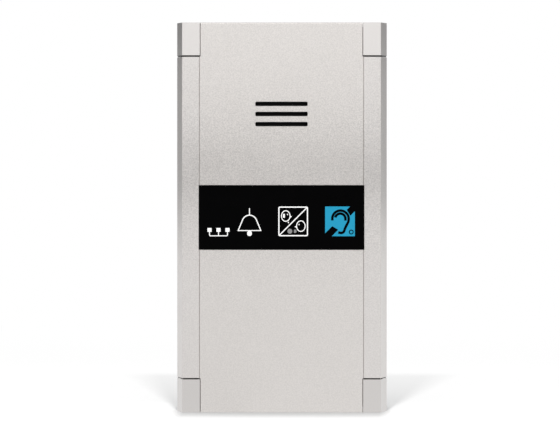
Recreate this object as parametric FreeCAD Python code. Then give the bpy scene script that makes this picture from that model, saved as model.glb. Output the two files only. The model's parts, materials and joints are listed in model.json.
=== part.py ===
import FreeCAD, Part
import math
import os

from FreeCAD import Vector

# Elevator emergency intercom for surface mounting on the wall of the car.
#
# A folded steel chassis lies on the wall. Two extruded aluminium rails with leaning outer sides
# are screwed to it, and between them stand an upper panel with three sound slots, a black
# pictogram window and a blank lower panel. Four corner caps pull off to reach the wall screws.
# Inside are a loudspeaker, a microphone, an induction loop for hearing aids, a light box behind
# the pictograms and the main board, whose terminals and settings are reached from the back.
#
# Millimetres. X runs to the right as seen from the front, Z is up, and the front faces -Y.
# The origin is the centre of the four wall screw holes, on the wall plane.
# "Depth" below always means the distance in front of the wall plane, so Y = -depth.

# Envelope
overall_width = 100.0
overall_height = 185.0
overall_depth = 18.0
side_lean = 2.8
foot_height = 2.0
front_edge_radius = 0.3

# Panels on the front
panel_thickness = 1.8
long_seam_spacing = 77.9
long_seam_gap = 0.14
panel_end_radius = 0.5
panel_edge_break = 0.15
tongue_thickness = 0.85
tongue_reach = 1.4
tongue_clearance = 0.05

# Corner caps
cap_height = 15.7
cap_rail_gap = 0.6
cap_step_in = 0.45
cap_seam_gap = 0.2
cap_front_wall = 1.8
cap_side_wall = 1.9
cap_end_wall = 1.6
cap_inner_wall = 1.0
cap_lift_clearance = 0.1
cap_rib_height = 0.4
cap_rib_thickness = 1.2
cap_rib_set_back = 0.25
cap_rib_front_depth = 12.0
prong_radius = 1.2
prong_clearance = 0.06
prong_tip_gap = 0.3
prong_slit = 0.7
prong_slit_depth = 9.0
prong_wall_gap = 0.3
prong_edge_distance = 2.0

# Side rails
rail_wall = 1.9
rail_ledge_thickness = 1.4
rail_ledge_reach = 2.0
rail_flange_thickness = 1.6
rail_flange_width = 7.5
rail_screw_height = 52.0
rail_foot_thickness = 2.0

# Pictogram window, its film and the light box behind it
window_width = 78.4
window_height = 30.5
window_gap = 0.1
window_recess = 0.25
film_thickness = 0.3
film_edge_gap = 0.2
film_height = 27.0
light_box_edge_gap = 0.3
light_box_wall = 1.2
light_box_top = 7.5
light_box_bottom = -10.5
light_cell_edges = [(-35.7, -23.2), (-21.9, -8.4), (-2.4, 13.5), (19.8, 35.7)]
led_width = 3.5
led_length = 2.8
led_height = 1.9
led_lens_radius = 1.0
led_lens_rise = 0.3
led_spacing = 5.6

# Sound slots
slot_length = 24.8
slot_height = 2.0
slot_pitch = 4.8
slot_corner_radius = 0.6
slot_count = 3
cloth_width = 32.0
cloth_height = 17.0
cloth_thickness = 0.4

# Chassis
sheet_thickness = 1.5
chassis_side_clearance = 0.2
chassis_flange_width = 75.0
chassis_bend_radius = 1.0
wall_hole_radius = 2.25
wall_hole_side_inset = 6.5
wall_hole_end_inset = 8.5
service_width = 60.0
service_height = 40.0
service_over_board_end = 15.0
service_corner_radius = 3.0
tie_slot_length = 5.0
tie_slot_width = 2.5
tie_slot_spacing = 9.0
tie_slot_margin = 3.0

# Loudspeaker
speaker_over_window = 33.75
speaker_radius = 25.0
gasket_thickness = 1.0
gasket_width = 3.2
rim_thickness = 0.8
rim_width = 2.0
basket_wall = 0.7
basket_throat_depth = 2.4
basket_floor_radius = 15.6
basket_hole_radius = 8.0
basket_vent_radius = 2.6
basket_vent_count = 6
magnet_radius = 14.0
magnet_hole_radius = 7.0
magnet_thickness = 2.5
plate_radius = 12.5
plate_thickness = 0.9
yoke_thickness = 1.1
pole_radius = 4.7
voice_gap = 0.3
voice_coil_wall = 0.3
voice_coil_overhang = 1.4
cone_travel = 0.5
cone_thickness = 0.4
cone_rise = 2.8
dust_cap_radius = 6.5
dust_cap_rise = 1.8
dust_cap_thickness = 0.3
surround_roll_radius = 1.5
surround_thickness = 0.3
spider_thickness = 0.2
spider_ripple = 0.3
spider_folds = 4
spider_edge_gap = 0.8
spider_cone_gap = 0.3
cone_clearance = 0.08
tag_strip_width = 12.0
tag_strip_length = 4.6
tag_spacing = 4.0
tag_width = 1.8
tag_length = 4.2
tag_thickness = 0.4
tag_overhang = 1.0
tag_joint_height = 1.6

# Loudspeaker clamps
clamp_width = 7.0
clamp_length = 10.5
clamp_thickness = 0.8
clamp_corner_radius = 1.2
clamp_reach_over_rim = 1.6
boss_radius = 2.5
boss_rim_gap = 1.5

# Screws, all of metric size 3
screw_radius = 1.45
screw_hole_radius = 1.5
screw_clear_radius = 1.65
screw_head_radius = 2.75
screw_head_height = 1.6
countersink_radius = 2.9
countersink_clearance = 0.08
countersunk_head_sink = 0.1
screw_tip_gap = 0.3
end_screw_tip = 1.2
recess_width = 0.6
recess_length = 3.0
recess_depth = 0.8
end_screw_x = 25.0

# Main board
board_width = 74.0
board_tag_gap = 2.5
board_end_margin = 16.5
board_thickness = 1.6
board_corner_radius = 2.0
board_screw_inset = 4.0
standoff_across_flats = 5.5

# Parts on the back of the main board
terminal_ways = 8
terminal_pitch = 3.81
terminal_under_service_top = 4.0
terminal_body_depth = 8.0
terminal_body_height = 8.1
terminal_wall_gap = 0.5
terminal_shoulder_height = 1.6
terminal_shoulder_depth = 1.2
terminal_screw_radius = 1.35
terminal_well_radius = 1.5
terminal_well_depth = 3.6
terminal_screw_sink = 0.8
terminal_screw_length = 2.8
terminal_screw_slot = 0.5
terminal_entry_width = 2.6
terminal_entry_height = 3.2
terminal_entry_length = 3.2
terminal_entry_over_board = 2.0
settings_over_service_bottom = 9.0
switch_ways = 4
switch_pitch = 2.54
switch_x = 18.0
switch_body_length = 6.4
switch_body_height = 4.3
switch_end_margin = 0.8
slider_width = 1.2
slider_length = 1.5
slider_travel = 1.8
slider_proud = 0.9
slider_sunk = 0.9
slider_clearance = 0.1
sliders_on = (False, True, False, False)
button_x = -20.0
button_body_size = 6.0
button_body_height = 3.5
button_corner_radius = 0.4
button_radius = 1.75
button_proud = 2.4
button_sunk = 0.7
button_travel = 0.3
button_clearance = 0.08
trimmer_x = 0.0
trimmer_size = 6.6
trimmer_height = 4.2
trimmer_rotor_radius = 2.3
trimmer_rotor_thickness = 1.3
trimmer_rotor_proud = 0.3
trimmer_slot_width = 0.7
trimmer_slot_length = 3.7
trimmer_slot_depth = 0.7
trimmer_pointer_width = 1.8
trimmer_pointer_length = 1.1
trimmer_pointer_depth = 0.4
trimmer_clearance = 0.08
transformer_x = -23.0
transformer_z = 0.0
transformer_width = 13.0
transformer_length = 15.0
transformer_height = 5.4
transformer_core_lift = 0.7
transformer_bobbin_width = 8.0
transformer_bobbin_length = 17.6
relay_x = -9.0
relay_z = -3.0
relay_width = 7.2
relay_length = 11.0
relay_height = 5.2
relay_corner_radius = 0.6
capacitor_radius = 3.15
capacitor_height = 5.4
capacitor_base = 6.6
capacitor_base_height = 0.9
capacitor_places = [(29.0, 6.0), (29.0, -2.5), (19.5, 0.5)]
chip_places = [(6.0, -2.0, 10.0, 10.0, 1.5), (19.5, 11.5, 5.0, 6.0, 1.6), (-9.0, 8.0, 5.0, 4.0, 1.4),
               (8.5, 9.5, 5.0, 4.0, 1.4)]
socket_width = 7.0
socket_length = 4.6
socket_height = 4.5
socket_wall = 0.8
socket_edge_margin = 3.2

# Induction loop
coil_outer_width = 64.0
coil_outer_height = 46.0
coil_winding_width = 3.0
coil_winding_height = 2.0
coil_bar_width = 2.4
coil_flange = 0.6
coil_wire_sink = 0.3
coil_corner_radius = 7.0

# Microphone
capsule_radius = 4.85
capsule_height = 5.5
boot_wall = 1.15
boot_floor = 1.2
boot_height = 8.0
boot_port_radius = 1.0
boot_fit = 0.1

# Leads inside the case
lead_radius = 0.5
lead_plug_reach = 1.4
coil_lead_radius = 0.3
coil_lead_rise = 9.0
coil_lead_xs = (-8.0, -5.0)
microphone_lead_spacing = 2.6
bend_share = 0.45

# Working values
cut_past = 1.0
tiny = 1e-4

half_width = overall_width / 2
half_height = overall_height / 2
front_depth = overall_depth
panel_back_depth = front_depth - panel_thickness
rail_lip_x = (long_seam_spacing + long_seam_gap) / 2
rail_ledge_x = rail_lip_x - rail_ledge_reach
panel_half_width = (long_seam_spacing - long_seam_gap) / 2
tongue_half_width = panel_half_width + tongue_reach
cap_inner_x = rail_lip_x - cap_step_in + cap_seam_gap / 2
panel_corner_half_width = cap_inner_x - cap_seam_gap
cap_foot_z = half_height - cap_height
rail_end_z = cap_foot_z - cap_rail_gap
seam_z = cap_foot_z - cap_rail_gap / 2

window_front_depth = front_depth - window_recess
window_opening_half_height = window_height / 2 + window_gap
window_opening_half_width = window_width / 2 + window_gap
film_back_depth = panel_back_depth - film_thickness

chassis_half_width = half_width - rail_foot_thickness - chassis_side_clearance
chassis_half_height = half_height - panel_thickness
wall_hole_x = half_width - wall_hole_side_inset
wall_hole_z = half_height - wall_hole_end_inset
rail_screw_x = half_width - rail_foot_thickness - rail_flange_width / 2
end_screw_depth = (sheet_thickness + panel_back_depth) / 2
prong_places = [
    (cap_inner_x + cap_inner_wall + prong_wall_gap + prong_radius,
     cap_foot_z + cap_inner_wall + prong_wall_gap + prong_radius),
    (chassis_half_width - prong_edge_distance, chassis_half_height - prong_edge_distance),
]

board_rear_depth = terminal_body_height + terminal_wall_gap
board_front_depth = board_rear_depth + board_thickness
board_bottom = board_end_margin - half_height
board_screw_x = board_width / 2 - board_screw_inset
service_bottom = board_bottom + service_over_board_end
service_top = service_bottom + service_height
terminal_top = service_top - terminal_under_service_top
settings_z = service_bottom + settings_over_service_bottom
microphone_socket_z = board_bottom + socket_edge_margin + socket_length / 2

speaker_height = window_opening_half_height + speaker_over_window
rim_front_depth = panel_back_depth - gasket_thickness
rim_back_depth = rim_front_depth - rim_thickness
throat_radius = speaker_radius - rim_width
cone_edge_depth = rim_front_depth - surround_roll_radius
cone_outer_radius = throat_radius - basket_wall - 2 * surround_roll_radius - cone_clearance
cone_inner_depth = cone_edge_depth - cone_rise
spider_front_depth = cone_inner_depth - cone_thickness - cone_travel - spider_cone_gap
spider_back_depth = spider_front_depth - spider_ripple - spider_thickness
basket_floor_depth = spider_back_depth - basket_wall
plate_back_depth = basket_floor_depth - plate_thickness
magnet_back_depth = plate_back_depth - magnet_thickness
yoke_back_depth = magnet_back_depth - yoke_thickness
voice_coil_radius = pole_radius + voice_gap
voice_coil_outer_radius = voice_coil_radius + voice_coil_wall
clamp_circle_radius = speaker_radius + boss_rim_gap + boss_radius
tag_strip_bottom = speaker_height - speaker_radius + rim_width - tag_strip_length
board_top = tag_strip_bottom - board_tag_gap
speaker_socket_z = board_top - socket_edge_margin - socket_length / 2

boot_radius = capsule_radius + boot_wall
coil_z = -(window_opening_half_height + chassis_half_height - sheet_thickness) / 2


def slab(x0, x1, depth0, depth1, z0, z1):
    """A block between two x, two depths in front of the wall and two heights."""
    return Part.makeBox(x1 - x0, depth1 - depth0, z1 - z0, Vector(x0, -depth1, z0))


def block(x, z, width, height, depth0, depth1):
    """A block about a centre, between two depths."""
    return slab(x - width / 2, x + width / 2, depth0, depth1, z - height / 2, z + height / 2)


def rod(radius, x, z, depth0, depth1):
    """A round bar square to the wall."""
    return Part.makeCylinder(radius, depth1 - depth0, Vector(x, -depth0, z), Vector(0, -1, 0))


def upright_rod(radius, x, depth, z0, z1):
    """A round bar along Z."""
    return Part.makeCylinder(radius, z1 - z0, Vector(x, -depth, z0), Vector(0, 0, 1))


def rounded(solid, radius):
    """Rounds the edges that run square to the wall."""
    edges = [e for e in solid.Edges if abs(abs(e.tangentAt(e.FirstParameter).y) - 1) < tiny]
    return solid.makeFillet(radius, edges)


def prism(points, z0, z1):
    """An upright prism over an outline of (x, depth) points."""
    corners = [Vector(x, -depth, z0) for x, depth in points]
    outline = Part.makePolygon(corners + corners[:1])
    return Part.Face(outline).extrude(Vector(0, 0, z1 - z0))


def turned(points):
    """A solid turned about the loudspeaker's axis, from an outline of (radius, depth) points."""
    corners = [Vector(radius, -depth, 0) for radius, depth in points]
    face = Part.Face(Part.makePolygon(corners + corners[:1]))
    return about_speaker_axis(face)


def about_speaker_axis(face):
    solid = face.revolve(Vector(0, 0, 0), Vector(0, 1, 0), 360)
    return solid.translated(Vector(0, 0, speaker_height))


def mirrored_x(shape):
    return shape.mirror(Vector(0, 0, 0), Vector(1, 0, 0))


def mirrored_z(shape):
    return shape.mirror(Vector(0, 0, 0), Vector(0, 0, 1))


def skin_x(depth):
    """Half width over the outer sides at a depth: upright along the foot, then leaning in."""
    lean = side_lean * max(0.0, depth - foot_height) / (overall_depth - foot_height)
    return half_width - lean


def front_edges(solid):
    """The edges that lie in the plane of the front face."""
    return [e for e in solid.Edges
            if abs(e.BoundBox.YMin + front_depth) < tiny and abs(e.BoundBox.YMax + front_depth) < tiny]


def round_leaning_edge(solid):
    """Rounds the long edge where the leaning side meets the front face."""
    edges = [e for e in front_edges(solid) if abs(e.BoundBox.XMin - skin_x(front_depth)) < tiny]
    return solid.makeFillet(front_edge_radius, edges)


def cross_recess(x, z, depth0, depth1):
    """The cross that a screwdriver enters, between two depths."""
    bar = block(x, z, recess_length, recess_width, depth0, depth1)
    return bar.fuse(block(x, z, recess_width, recess_length, depth0, depth1))


def lead(points, radius):
    """A thin wire along straight runs joined by tangent arcs, from (x, depth, z) points."""
    route = [Vector(x, -depth, z) for x, depth, z in points]
    edges = []
    start = route[0]
    for before, corner, after in zip(route, route[1:], route[2:]):
        towards = (before - corner).normalize()
        away = (after - corner).normalize()
        turn = math.pi - towards.getAngle(away)
        cut = bend_share * min(before.distanceToPoint(corner), corner.distanceToPoint(after))
        bend = cut / math.tan(turn / 2)
        inward = (towards + away).normalize()
        middle = corner + inward * (bend / math.cos(turn / 2) - bend)
        leave = corner + away * cut
        edges.append(Part.LineSegment(start, corner + towards * cut).toShape())
        edges.append(Part.Arc(corner + towards * cut, middle, leave).toShape())
        print(f"lead bend radius {bend:.2f} mm for a wire of {2 * radius:.1f} mm")
        start = leave
    edges.append(Part.LineSegment(start, route[-1]).toShape())
    circle = Part.Wire(Part.makeCircle(radius, route[0], route[1] - route[0]))
    return Part.Wire(edges).makePipeShell([circle], True, False)


def corners():
    """The four (side, end) sign pairs."""
    return [(side, end) for side in (-1, 1) for end in (-1, 1)]


def chassis():
    """Folded steel back: base plate, two end flanges, wall holes and the service opening."""
    base = slab(-chassis_half_width, chassis_half_width, 0, sheet_thickness,
                -chassis_half_height, chassis_half_height)
    flange_foot = chassis_half_height - sheet_thickness
    flange = slab(-chassis_flange_width / 2, chassis_flange_width / 2, 0, panel_back_depth,
                  flange_foot, chassis_half_height)
    body = base.fuse([flange, mirrored_z(flange)]).removeSplitter()
    bends = [e for e in body.Edges
             if abs(abs(e.CenterOfMass.z) - flange_foot) < tiny
             and abs(e.BoundBox.YMax + sheet_thickness) < tiny and e.BoundBox.YLength < tiny]
    body = body.makeFillet(chassis_bend_radius, bends)
    front = sheet_thickness + cut_past
    service_z = (service_bottom + service_top) / 2
    cuts = [rounded(block(0, service_z, service_width, service_height, -cut_past, front),
                    service_corner_radius)]
    for side, end in corners():
        cuts.append(rod(wall_hole_radius, side * wall_hole_x, end * wall_hole_z, -cut_past, front))
        for x, z in prong_places:
            cuts.append(rod(prong_radius + prong_clearance, side * x, end * z, -cut_past, front))
        cuts.append(rail_screw_hole(side * rail_screw_x, end * rail_screw_height))
        cuts.append(upright_rod(screw_hole_radius, side * end_screw_x, end_screw_depth,
                                end * chassis_half_height - 2 * sheet_thickness,
                                end * chassis_half_height + 2 * sheet_thickness))
    for side in (-1, 1):
        slot_z = service_bottom - tie_slot_margin - tie_slot_length / 2
        cuts.append(block(side * tie_slot_spacing / 2, slot_z, tie_slot_width, tie_slot_length,
                          -cut_past, front))
    seat = upright_rod(boot_radius + boot_fit, 0, end_screw_depth,
                       -chassis_half_height - cut_past, -flange_foot + cut_past)
    return body.cut(cuts + [seat])


def rail_screw_hole(x, z):
    """The countersunk hole for one rail screw in the chassis."""
    hole = rod(screw_clear_radius, x, z, -cut_past, sheet_thickness + cut_past)
    drop = countersink_radius - screw_clear_radius
    cone = Part.makeCone(countersink_radius, screw_clear_radius, drop, Vector(x, 0, z), Vector(0, -1, 0))
    return hole.fuse(cone)


def right_rail():
    """Extruded aluminium rail: leaning skin, front lip, panel ledge and foot flange."""
    lip_depth = panel_back_depth + tongue_thickness + tongue_clearance
    groove_x = tongue_half_width + 2 * tongue_clearance
    ledge_back = panel_back_depth - rail_ledge_thickness
    flange_front = sheet_thickness + rail_flange_thickness
    foot_x = half_width - rail_foot_thickness
    outline = [
        (half_width, 0), (half_width, foot_height), (skin_x(front_depth), front_depth),
        (rail_lip_x, front_depth), (rail_lip_x, lip_depth), (groove_x, lip_depth),
        (groove_x, panel_back_depth), (rail_ledge_x, panel_back_depth), (rail_ledge_x, ledge_back),
        (skin_x(ledge_back) - rail_wall, ledge_back), (skin_x(flange_front) - rail_wall, flange_front),
        (foot_x - rail_flange_width, flange_front), (foot_x - rail_flange_width, sheet_thickness),
        (foot_x, sheet_thickness), (foot_x, 0),
    ]
    body = prism(outline, -rail_end_z, rail_end_z)
    notch = slab(rail_lip_x - cut_past, window_opening_half_width, lip_depth, front_depth + cut_past,
                 -window_opening_half_height, window_opening_half_height)
    body = body.cut(notch)
    inner_edges = [e for e in front_edges(body) if e.BoundBox.XMax < skin_x(front_depth) - tiny]
    body = round_leaning_edge(body.makeChamfer(panel_edge_break, inner_edges))
    return body.cut([rod(screw_hole_radius, rail_screw_x, end * rail_screw_height, 0,
                         flange_front + cut_past) for end in (-1, 1)])


def blank_panel():
    """The panel above the window: plate, rail tongues, end flange and screw seats."""
    foot = window_opening_half_height
    plate = slab(-panel_half_width, panel_half_width, panel_back_depth, front_depth, foot, seam_z)
    head = slab(-panel_corner_half_width, panel_corner_half_width, panel_back_depth, front_depth,
                seam_z, half_height)
    tongue = slab(-tongue_half_width, tongue_half_width, panel_back_depth,
                  panel_back_depth + tongue_thickness, foot, rail_end_z)
    flange = slab(-panel_corner_half_width, panel_corner_half_width, 0, front_depth,
                  chassis_half_height, half_height)
    body = plate.fuse([head, tongue, flange]).removeSplitter()
    at_end = [e for e in front_edges(body) if abs(e.BoundBox.ZMin - half_height) < tiny]
    body = body.makeFillet(panel_end_radius, at_end)
    seats = []
    for side in (-1, 1):
        x = side * end_screw_x
        drop = countersink_radius - screw_clear_radius
        seats.append(Part.makeCone(screw_clear_radius, countersink_radius, drop,
                                   Vector(x, -end_screw_depth, half_height - drop), Vector(0, 0, 1)))
        seats.append(upright_rod(screw_clear_radius, x, end_screw_depth,
                                 chassis_half_height - cut_past, half_height))
    return body.cut(seats)


def break_front_edges(panel):
    """Breaks the front edges that run along the rails and the window."""
    limit = half_height - panel_end_radius - tiny
    edges = [e for e in front_edges(panel)
             if max(abs(e.BoundBox.ZMin), abs(e.BoundBox.ZMax)) < limit
             or e.BoundBox.XLength < tiny]
    return panel.makeChamfer(panel_edge_break, edges)


def slot_heights():
    """The heights of the sound slots."""
    middle = (slot_count - 1) / 2
    return [speaker_height + (middle - i) * slot_pitch for i in range(slot_count)]


def upper_panel():
    """The panel with the sound slots."""
    body = blank_panel()
    for z in slot_heights():
        slot = block(0, z, slot_length, slot_height, 0, front_depth + cut_past)
        body = body.cut(rounded(slot, slot_corner_radius))
    return break_front_edges(body)


def lower_panel():
    """The blank panel, with the microphone's port in its end flange."""
    port = upright_rod(boot_port_radius, 0, end_screw_depth, -half_height - cut_past,
                       cut_past - chassis_half_height)
    return mirrored_z(break_front_edges(blank_panel())).cut(port)


def pictogram_window():
    """Black window whose thin edges slide under the lips of the rails."""
    face = block(0, 0, window_width, window_height, panel_back_depth, window_front_depth)
    tongue = block(0, 0, 2 * tongue_half_width, window_height, panel_back_depth,
                   panel_back_depth + tongue_thickness)
    return face.fuse(tongue).removeSplitter()


def pictogram_film():
    """Printed film behind the window, between the ledges of the rails."""
    return block(0, 0, 2 * (rail_ledge_x - film_edge_gap), film_height, film_back_depth, panel_back_depth)


def light_box():
    """White frame with one cell behind each pictogram, so that each lights alone."""
    half = rail_ledge_x - light_box_edge_gap
    body = slab(-half, half, board_front_depth, film_back_depth, light_box_bottom, light_box_top)
    cells = [slab(left, right, board_front_depth - cut_past, film_back_depth + cut_past,
                  light_box_bottom + light_box_wall, light_box_top - light_box_wall)
             for left, right in light_cell_edges]
    return body.cut(cells)


def pictogram_leds():
    """Two lamps on the board in each cell of the light box."""
    lamps = []
    middle = (light_box_top + light_box_bottom) / 2
    top = board_front_depth + led_height
    for left, right in light_cell_edges:
        for way in (-1, 1):
            x, z = (left + right) / 2, middle + way * led_spacing / 2
            package = block(x, z, led_width, led_length, board_front_depth, top)
            lamps.append(package.fuse(rod(led_lens_radius, x, z, board_front_depth, top + led_lens_rise)))
    return Part.makeCompound([lamp.removeSplitter() for lamp in lamps])


def slot_cloth():
    return block(0, speaker_height, cloth_width, cloth_height, panel_back_depth - cloth_thickness,
                 panel_back_depth)


def speaker_ring(outer, inner, depth0, depth1):
    """A flat ring on the loudspeaker's axis."""
    ring = rod(outer, 0, speaker_height, depth0, depth1)
    return ring.cut(rod(inner, 0, speaker_height, depth0 - cut_past, depth1 + cut_past))


def speaker_gasket():
    return speaker_ring(speaker_radius, speaker_radius - gasket_width, rim_front_depth, panel_back_depth)


def speaker_basket():
    """Pressed steel frame: flat rim, short throat, cone with vents and a floor ring."""
    throat_end = rim_front_depth - basket_throat_depth
    floor = basket_floor_depth
    slope = math.atan2(throat_end - floor, throat_radius - basket_floor_radius)
    shift = basket_wall * math.tan(slope / 2)
    lift = basket_wall * math.tan((math.pi / 2 - slope) / 2)
    body = turned([
        (speaker_radius, rim_front_depth), (speaker_radius, rim_back_depth),
        (throat_radius, rim_back_depth), (throat_radius, throat_end),
        (basket_floor_radius, floor), (basket_hole_radius, floor),
        (basket_hole_radius, floor + basket_wall), (basket_floor_radius - shift, floor + basket_wall),
        (throat_radius - basket_wall, throat_end + lift), (throat_radius - basket_wall, rim_front_depth),
    ])
    ring = (throat_radius + basket_floor_radius) / 2
    vents = []
    for i in range(basket_vent_count):
        angle = math.radians(360 / basket_vent_count * (i + 0.5))
        vents.append(rod(basket_vent_radius, ring * math.sin(angle),
                         speaker_height + ring * math.cos(angle), floor - cut_past, front_depth))
    return body.cut(vents)


def speaker_top_plate():
    return speaker_ring(plate_radius, voice_coil_outer_radius + voice_gap, plate_back_depth,
                        basket_floor_depth)


def speaker_magnet():
    return speaker_ring(magnet_radius, magnet_hole_radius, magnet_back_depth, plate_back_depth)


def speaker_yoke():
    """Back plate and centre pole in one piece."""
    plate = rod(plate_radius, 0, speaker_height, yoke_back_depth, magnet_back_depth)
    pole = rod(pole_radius, 0, speaker_height, yoke_back_depth, basket_floor_depth)
    return plate.fuse(pole).removeSplitter()


def speaker_cone():
    return turned([
        (voice_coil_outer_radius, cone_inner_depth), (cone_outer_radius, cone_edge_depth),
        (cone_outer_radius, cone_edge_depth - cone_thickness),
        (voice_coil_outer_radius, cone_inner_depth - cone_thickness),
    ])


def speaker_dust_cap():
    """A shallow dome that closes the middle of the cone."""
    slope = (cone_edge_depth - cone_inner_depth) / (cone_outer_radius - voice_coil_outer_radius)
    seat = cone_inner_depth + slope * (dust_cap_radius - voice_coil_outer_radius)
    ball = (dust_cap_radius ** 2 + dust_cap_rise ** 2) / (2 * dust_cap_rise)
    centre = Vector(0, -(seat + dust_cap_rise - ball), speaker_height)
    dome = Part.makeSphere(ball, centre).cut(Part.makeSphere(ball - dust_cap_thickness, centre))
    return dome.common(rod(dust_cap_radius, 0, speaker_height, seat, front_depth))


def voice_coil():
    """The tube in the magnet's gap that drives the cone."""
    return speaker_ring(voice_coil_outer_radius, voice_coil_radius,
                        plate_back_depth - voice_coil_overhang, cone_inner_depth)


def speaker_surround():
    """Half roll that carries the cone's outer edge."""
    middle = throat_radius - basket_wall - surround_roll_radius
    outer, inner = surround_roll_radius, surround_roll_radius - surround_thickness

    def point(radius, angle):
        return Vector(middle + radius * math.cos(angle), -cone_edge_depth - radius * math.sin(angle), 0)

    def half_turn(radius):
        return Part.Arc(point(radius, 0), point(radius, math.pi / 2), point(radius, math.pi)).toShape()

    outline = Part.Wire([
        half_turn(outer), Part.LineSegment(point(outer, math.pi), point(inner, math.pi)).toShape(),
        half_turn(inner), Part.LineSegment(point(inner, 0), point(outer, 0)).toShape(),
    ])
    return about_speaker_axis(Part.Face(outline))


def speaker_spider():
    """Rippled disc that centres the voice coil above the basket's floor."""
    inner = voice_coil_outer_radius + cone_clearance
    outer = basket_floor_radius - spider_edge_gap
    steps = 2 * spider_folds
    front, back = [], []
    for i in range(steps + 1):
        radius = outer - (outer - inner) * i / steps
        depth = spider_back_depth + (spider_ripple if i % 2 else 0.0)
        front.append((radius, depth + spider_thickness))
        back.append((radius, depth))
    return turned(front + back[::-1])


def speaker_tag_strip():
    return block(0, tag_strip_bottom + tag_strip_length / 2, tag_strip_width, tag_strip_length,
                 rim_back_depth - rim_thickness, rim_back_depth)


def speaker_tags():
    """Two solder tags riveted to the strip."""
    front = rim_back_depth - rim_thickness
    z = tag_strip_bottom - tag_overhang + tag_length / 2
    return Part.makeCompound([
        block(side * tag_spacing / 2, z, tag_width, tag_length, front - tag_thickness, front)
        for side in (-1, 1)])


def around_speaker(shape):
    """Copies of a shape at the four diagonal places round the loudspeaker."""
    copies = []
    for i in range(4):
        copy = shape.copy()
        copy.rotate(Vector(0, 0, speaker_height), Vector(0, 1, 0), 45 + 90 * i)
        copies.append(copy)
    return Part.makeCompound(copies)


def speaker_bosses():
    """Threaded bosses pressed into the back of the upper panel."""
    boss = rod(boss_radius, clamp_circle_radius, speaker_height, rim_back_depth, panel_back_depth)
    bore = rod(screw_hole_radius, clamp_circle_radius, speaker_height, 0, front_depth)
    return around_speaker(boss.cut(bore))


def speaker_clamps():
    """Flat tabs that hold the rim of the basket against its gasket."""
    inner = speaker_radius - clamp_reach_over_rim
    tab = block(inner + clamp_length / 2, speaker_height, clamp_length, clamp_width,
                rim_back_depth - clamp_thickness, rim_back_depth)
    hole = rod(screw_clear_radius, clamp_circle_radius, speaker_height, 0, front_depth)
    return around_speaker(rounded(tab, clamp_corner_radius).cut(hole))


def pan_screw(x, z, seat_depth, length, towards_front):
    """A pan head screw whose shank points to the front or to the wall."""
    way = 1 if towards_front else -1

    def span(start, end):
        return sorted((seat_depth + way * start, seat_depth + way * end))

    head = rod(screw_head_radius, x, z, *span(-screw_head_height, 0))
    shank = rod(screw_radius, x, z, *span(0, length))
    cross = cross_recess(x, z, *span(-screw_head_height - cut_past, recess_depth - screw_head_height))
    return head.fuse(shank).cut(cross).removeSplitter()


def speaker_clamp_screws():
    seat = rim_back_depth - clamp_thickness
    length = panel_back_depth - seat - screw_tip_gap
    return around_speaker(pan_screw(clamp_circle_radius, speaker_height, seat, length, True))


def board_screw_places():
    heights = (board_bottom + board_screw_inset, board_top - board_screw_inset)
    return [(side * board_screw_x, z) for side in (-1, 1) for z in heights]


def main_board():
    """Printed circuit board with four mounting holes."""
    middle = (board_top + board_bottom) / 2
    board = block(0, middle, board_width, board_top - board_bottom, board_rear_depth, board_front_depth)
    holes = [rod(screw_clear_radius, x, z, 0, front_depth) for x, z in board_screw_places()]
    return rounded(board, board_corner_radius).cut(holes)


def board_standoffs():
    """Hexagonal threaded spacers clinched into the chassis."""
    reach = standoff_across_flats / math.sqrt(3)
    spacers = []
    for x, z in board_screw_places():
        angles = [math.radians(60 * i) for i in range(7)]
        outline = Part.makePolygon([Vector(x + reach * math.cos(a), -sheet_thickness,
                                           z + reach * math.sin(a)) for a in angles])
        spacer = Part.Face(outline).extrude(Vector(0, sheet_thickness - board_rear_depth, 0))
        spacers.append(spacer.cut(rod(screw_hole_radius, x, z, sheet_thickness, front_depth)))
    return Part.makeCompound(spacers)


def board_screws():
    length = board_front_depth - sheet_thickness - screw_tip_gap
    return Part.makeCompound([pan_screw(x, z, board_front_depth, length, False)
                              for x, z in board_screw_places()])


def row(count, pitch, middle):
    """The places of a row of equal parts."""
    return [middle + (i - (count - 1) / 2) * pitch for i in range(count)]


def terminal_block():
    """Screw terminals: wires enter from below, and the screws face the wall."""
    width = terminal_ways * terminal_pitch
    foot = terminal_top - terminal_body_depth
    middle = foot + terminal_body_depth / 2
    body = block(0, middle, width, terminal_body_depth, terminal_wall_gap, board_rear_depth)
    shoulder = slab(-width, width, 0, terminal_wall_gap + terminal_shoulder_height,
                    foot - cut_past, foot + terminal_shoulder_depth)
    cuts = [shoulder]
    entry_front = board_rear_depth - terminal_entry_over_board
    for x in row(terminal_ways, terminal_pitch, 0):
        cuts.append(rod(terminal_well_radius, x, terminal_screw_z(), 0,
                        terminal_wall_gap + terminal_well_depth))
        cuts.append(slab(x - terminal_entry_width / 2, x + terminal_entry_width / 2,
                         entry_front - terminal_entry_height, entry_front,
                         foot - cut_past, foot + terminal_entry_length))
    return body.cut(cuts)


def terminal_screw_z():
    """The clamping screws stand midway between the shoulder and the top."""
    foot = terminal_top - terminal_body_depth
    return (foot + terminal_shoulder_depth + terminal_top) / 2


def terminal_screws():
    """One slotted clamping screw in each well of the terminal block."""
    rear = terminal_wall_gap + terminal_screw_sink
    screws = []
    for x in row(terminal_ways, terminal_pitch, 0):
        head = rod(terminal_screw_radius, x, terminal_screw_z(), rear, rear + terminal_screw_length)
        slot = block(x, terminal_screw_z(), 2 * terminal_screw_radius, terminal_screw_slot, 0,
                     rear + recess_depth)
        screws.append(head.cut(slot))
    return Part.makeCompound(screws)


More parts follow.
